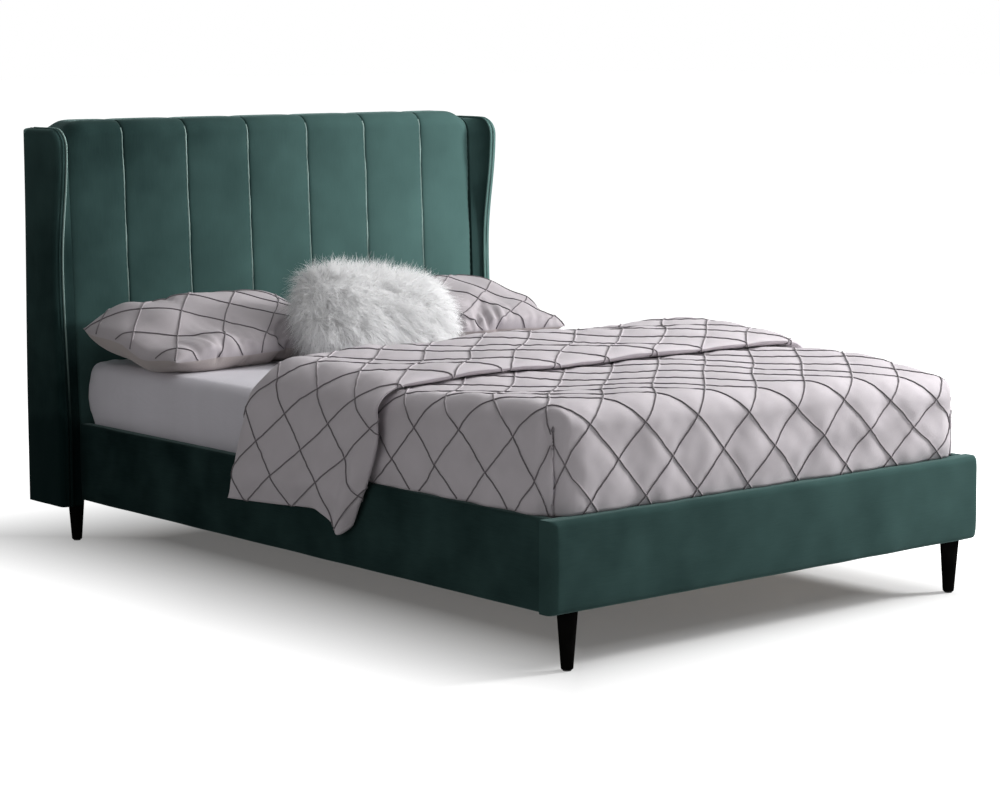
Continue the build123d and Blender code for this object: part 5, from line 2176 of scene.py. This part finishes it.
@dataclass
class Studio:
    """Camera, lamps, floor and backdrop."""

    camera_place: Triple = (-4.581, -5.402, 1.4165)
    azimuth: float = math.radians(-40.51)
    elevation: float = math.radians(7.83)
    lens: float = 97.15
    boxes: tuple[SoftBox, ...] = (
        SoftBox("key", 226.0, (3.9, -2.3, 2.6), 0.9),
        SoftBox("fill", 27.0, (2.2, -5.5, 1.6), 2.5),
        SoftBox("overhead", 73.0, (1.2, -1.1, 3.3), 3.2),
        SoftBox("left", 34.0, (-5.2, -1.4, 1.0), 3.0),
    )
    aim: Triple = (0.0, 0.0, 0.45)
    sky: float = 0.14
    floor_tone: float = 0.55
    floor_reach: float = 60.0
    footprint: Pair = (0.68, 1.10)
    fade: Pair = (-0.22, 0.45)
    glow: float = 0.10

    def backdrop_share(self, nodes: Nodes) -> Socket:
        """1 for rays that see the background: camera, glossy and transmission rays."""
        path = nodes.add("ShaderNodeLightPath")
        seen = nodes.math("MAXIMUM", path.outputs["Is Camera Ray"], path.outputs["Is Glossy Ray"])
        return nodes.math("MAXIMUM", seen, path.outputs["Is Transmission Ray"])

    def world(self) -> None:
        """Sets a white backdrop that lights the object only softly."""
        world = bpy.data.worlds.new("studio")
        bpy.context.scene.world = world
        world.use_nodes = True
        nodes = Nodes(world.node_tree)
        background = world.node_tree.nodes["Background"]
        strength = nodes.ranged(self.backdrop_share(nodes), 0.0, 1.0, self.sky, 1.0)
        nodes.feed(background.inputs["Color"], (1.0, 1.0, 1.0))
        nodes.feed(background.inputs["Strength"], strength)

    def floor(self) -> None:
        """Adds a pale floor that keeps the bed's shadow and fades to white round the bed."""
        maker = MeshMaker()
        side = np.array([-self.floor_reach, self.floor_reach])
        x, y = np.meshgrid(side, side, indexing="xy")
        maker.grid(np.stack([x, y, np.zeros_like(x)], -1))
        material = bpy.data.materials.new("studio_floor")
        material.use_nodes = True
        tree = material.node_tree
        nodes = Nodes(tree)
        shader = tree.nodes["Principled BSDF"]
        nodes.feed(shader.inputs["Base Color"], (self.floor_tone, self.floor_tone, self.floor_tone))
        nodes.feed(shader.inputs["Roughness"], 0.9)
        nodes.feed(shader.inputs["Specular IOR Level"], 0.0)
        split = nodes.add("ShaderNodeSeparateXYZ")
        nodes.feed(split.inputs[0], nodes.place())
        away = [
            nodes.math("SUBTRACT", nodes.math("ABSOLUTE", place), half)
            for place, half in zip(split.outputs, self.footprint)
        ]
        white = nodes.ranged(nodes.math("MAXIMUM", *away), *self.fade, self.glow, 1.0)
        strength = nodes.math("MULTIPLY", self.backdrop_share(nodes), white)
        glow = nodes.value("ShaderNodeEmission", {"Strength": strength})
        total = nodes.value("ShaderNodeAddShader", {0: shader.outputs[0], 1: glow})
        nodes.feed(tree.nodes["Material Output"].inputs["Surface"], total)
        maker.build("studio_floor", [material])

    def camera(self) -> None:
        """Sets the camera at the photograph's viewing angle."""
        data = bpy.data.cameras.new("camera")
        data.lens = self.lens
        data.sensor_fit = "HORIZONTAL"
        data.clip_end = 200
        back = Vector(
            (
                math.sin(self.azimuth) * math.cos(self.elevation),
                -math.cos(self.azimuth) * math.cos(self.elevation),
                math.sin(self.elevation),
            )
        )
        camera = bpy.data.objects.new("camera", data)
        camera.location = self.camera_place
        camera.rotation_euler = (-back).to_track_quat("-Z", "Y").to_euler()
        bpy.context.scene.collection.objects.link(camera)
        bpy.context.scene.camera = camera

    def build(self) -> None:
        """Sets up the whole studio."""
        bpy.context.scene.view_settings.view_transform = "Standard"
        self.camera()
        self.world()
        self.floor()
        for box in self.boxes:
            box.hang(self.aim)


def main() -> None:
    """Builds the bed in order."""
    logging.basicConfig(level=logging.INFO, format="%(name)s %(message)s")
    studio = Studio()
    studio.build()
    palette = Palette()
    palette.dress_nodes()
    Headboard().build(palette)
    for side in (-1, 1):
        Wing(side).build(palette)
    Rails().build(palette)
    MattressSet().build(palette)
    Duvet().build(palette)
    for side in (-1, 1):
        Pillow(side).build(palette)
    FurCushion().build(palette)


if __name__ == "__main__":
    main()
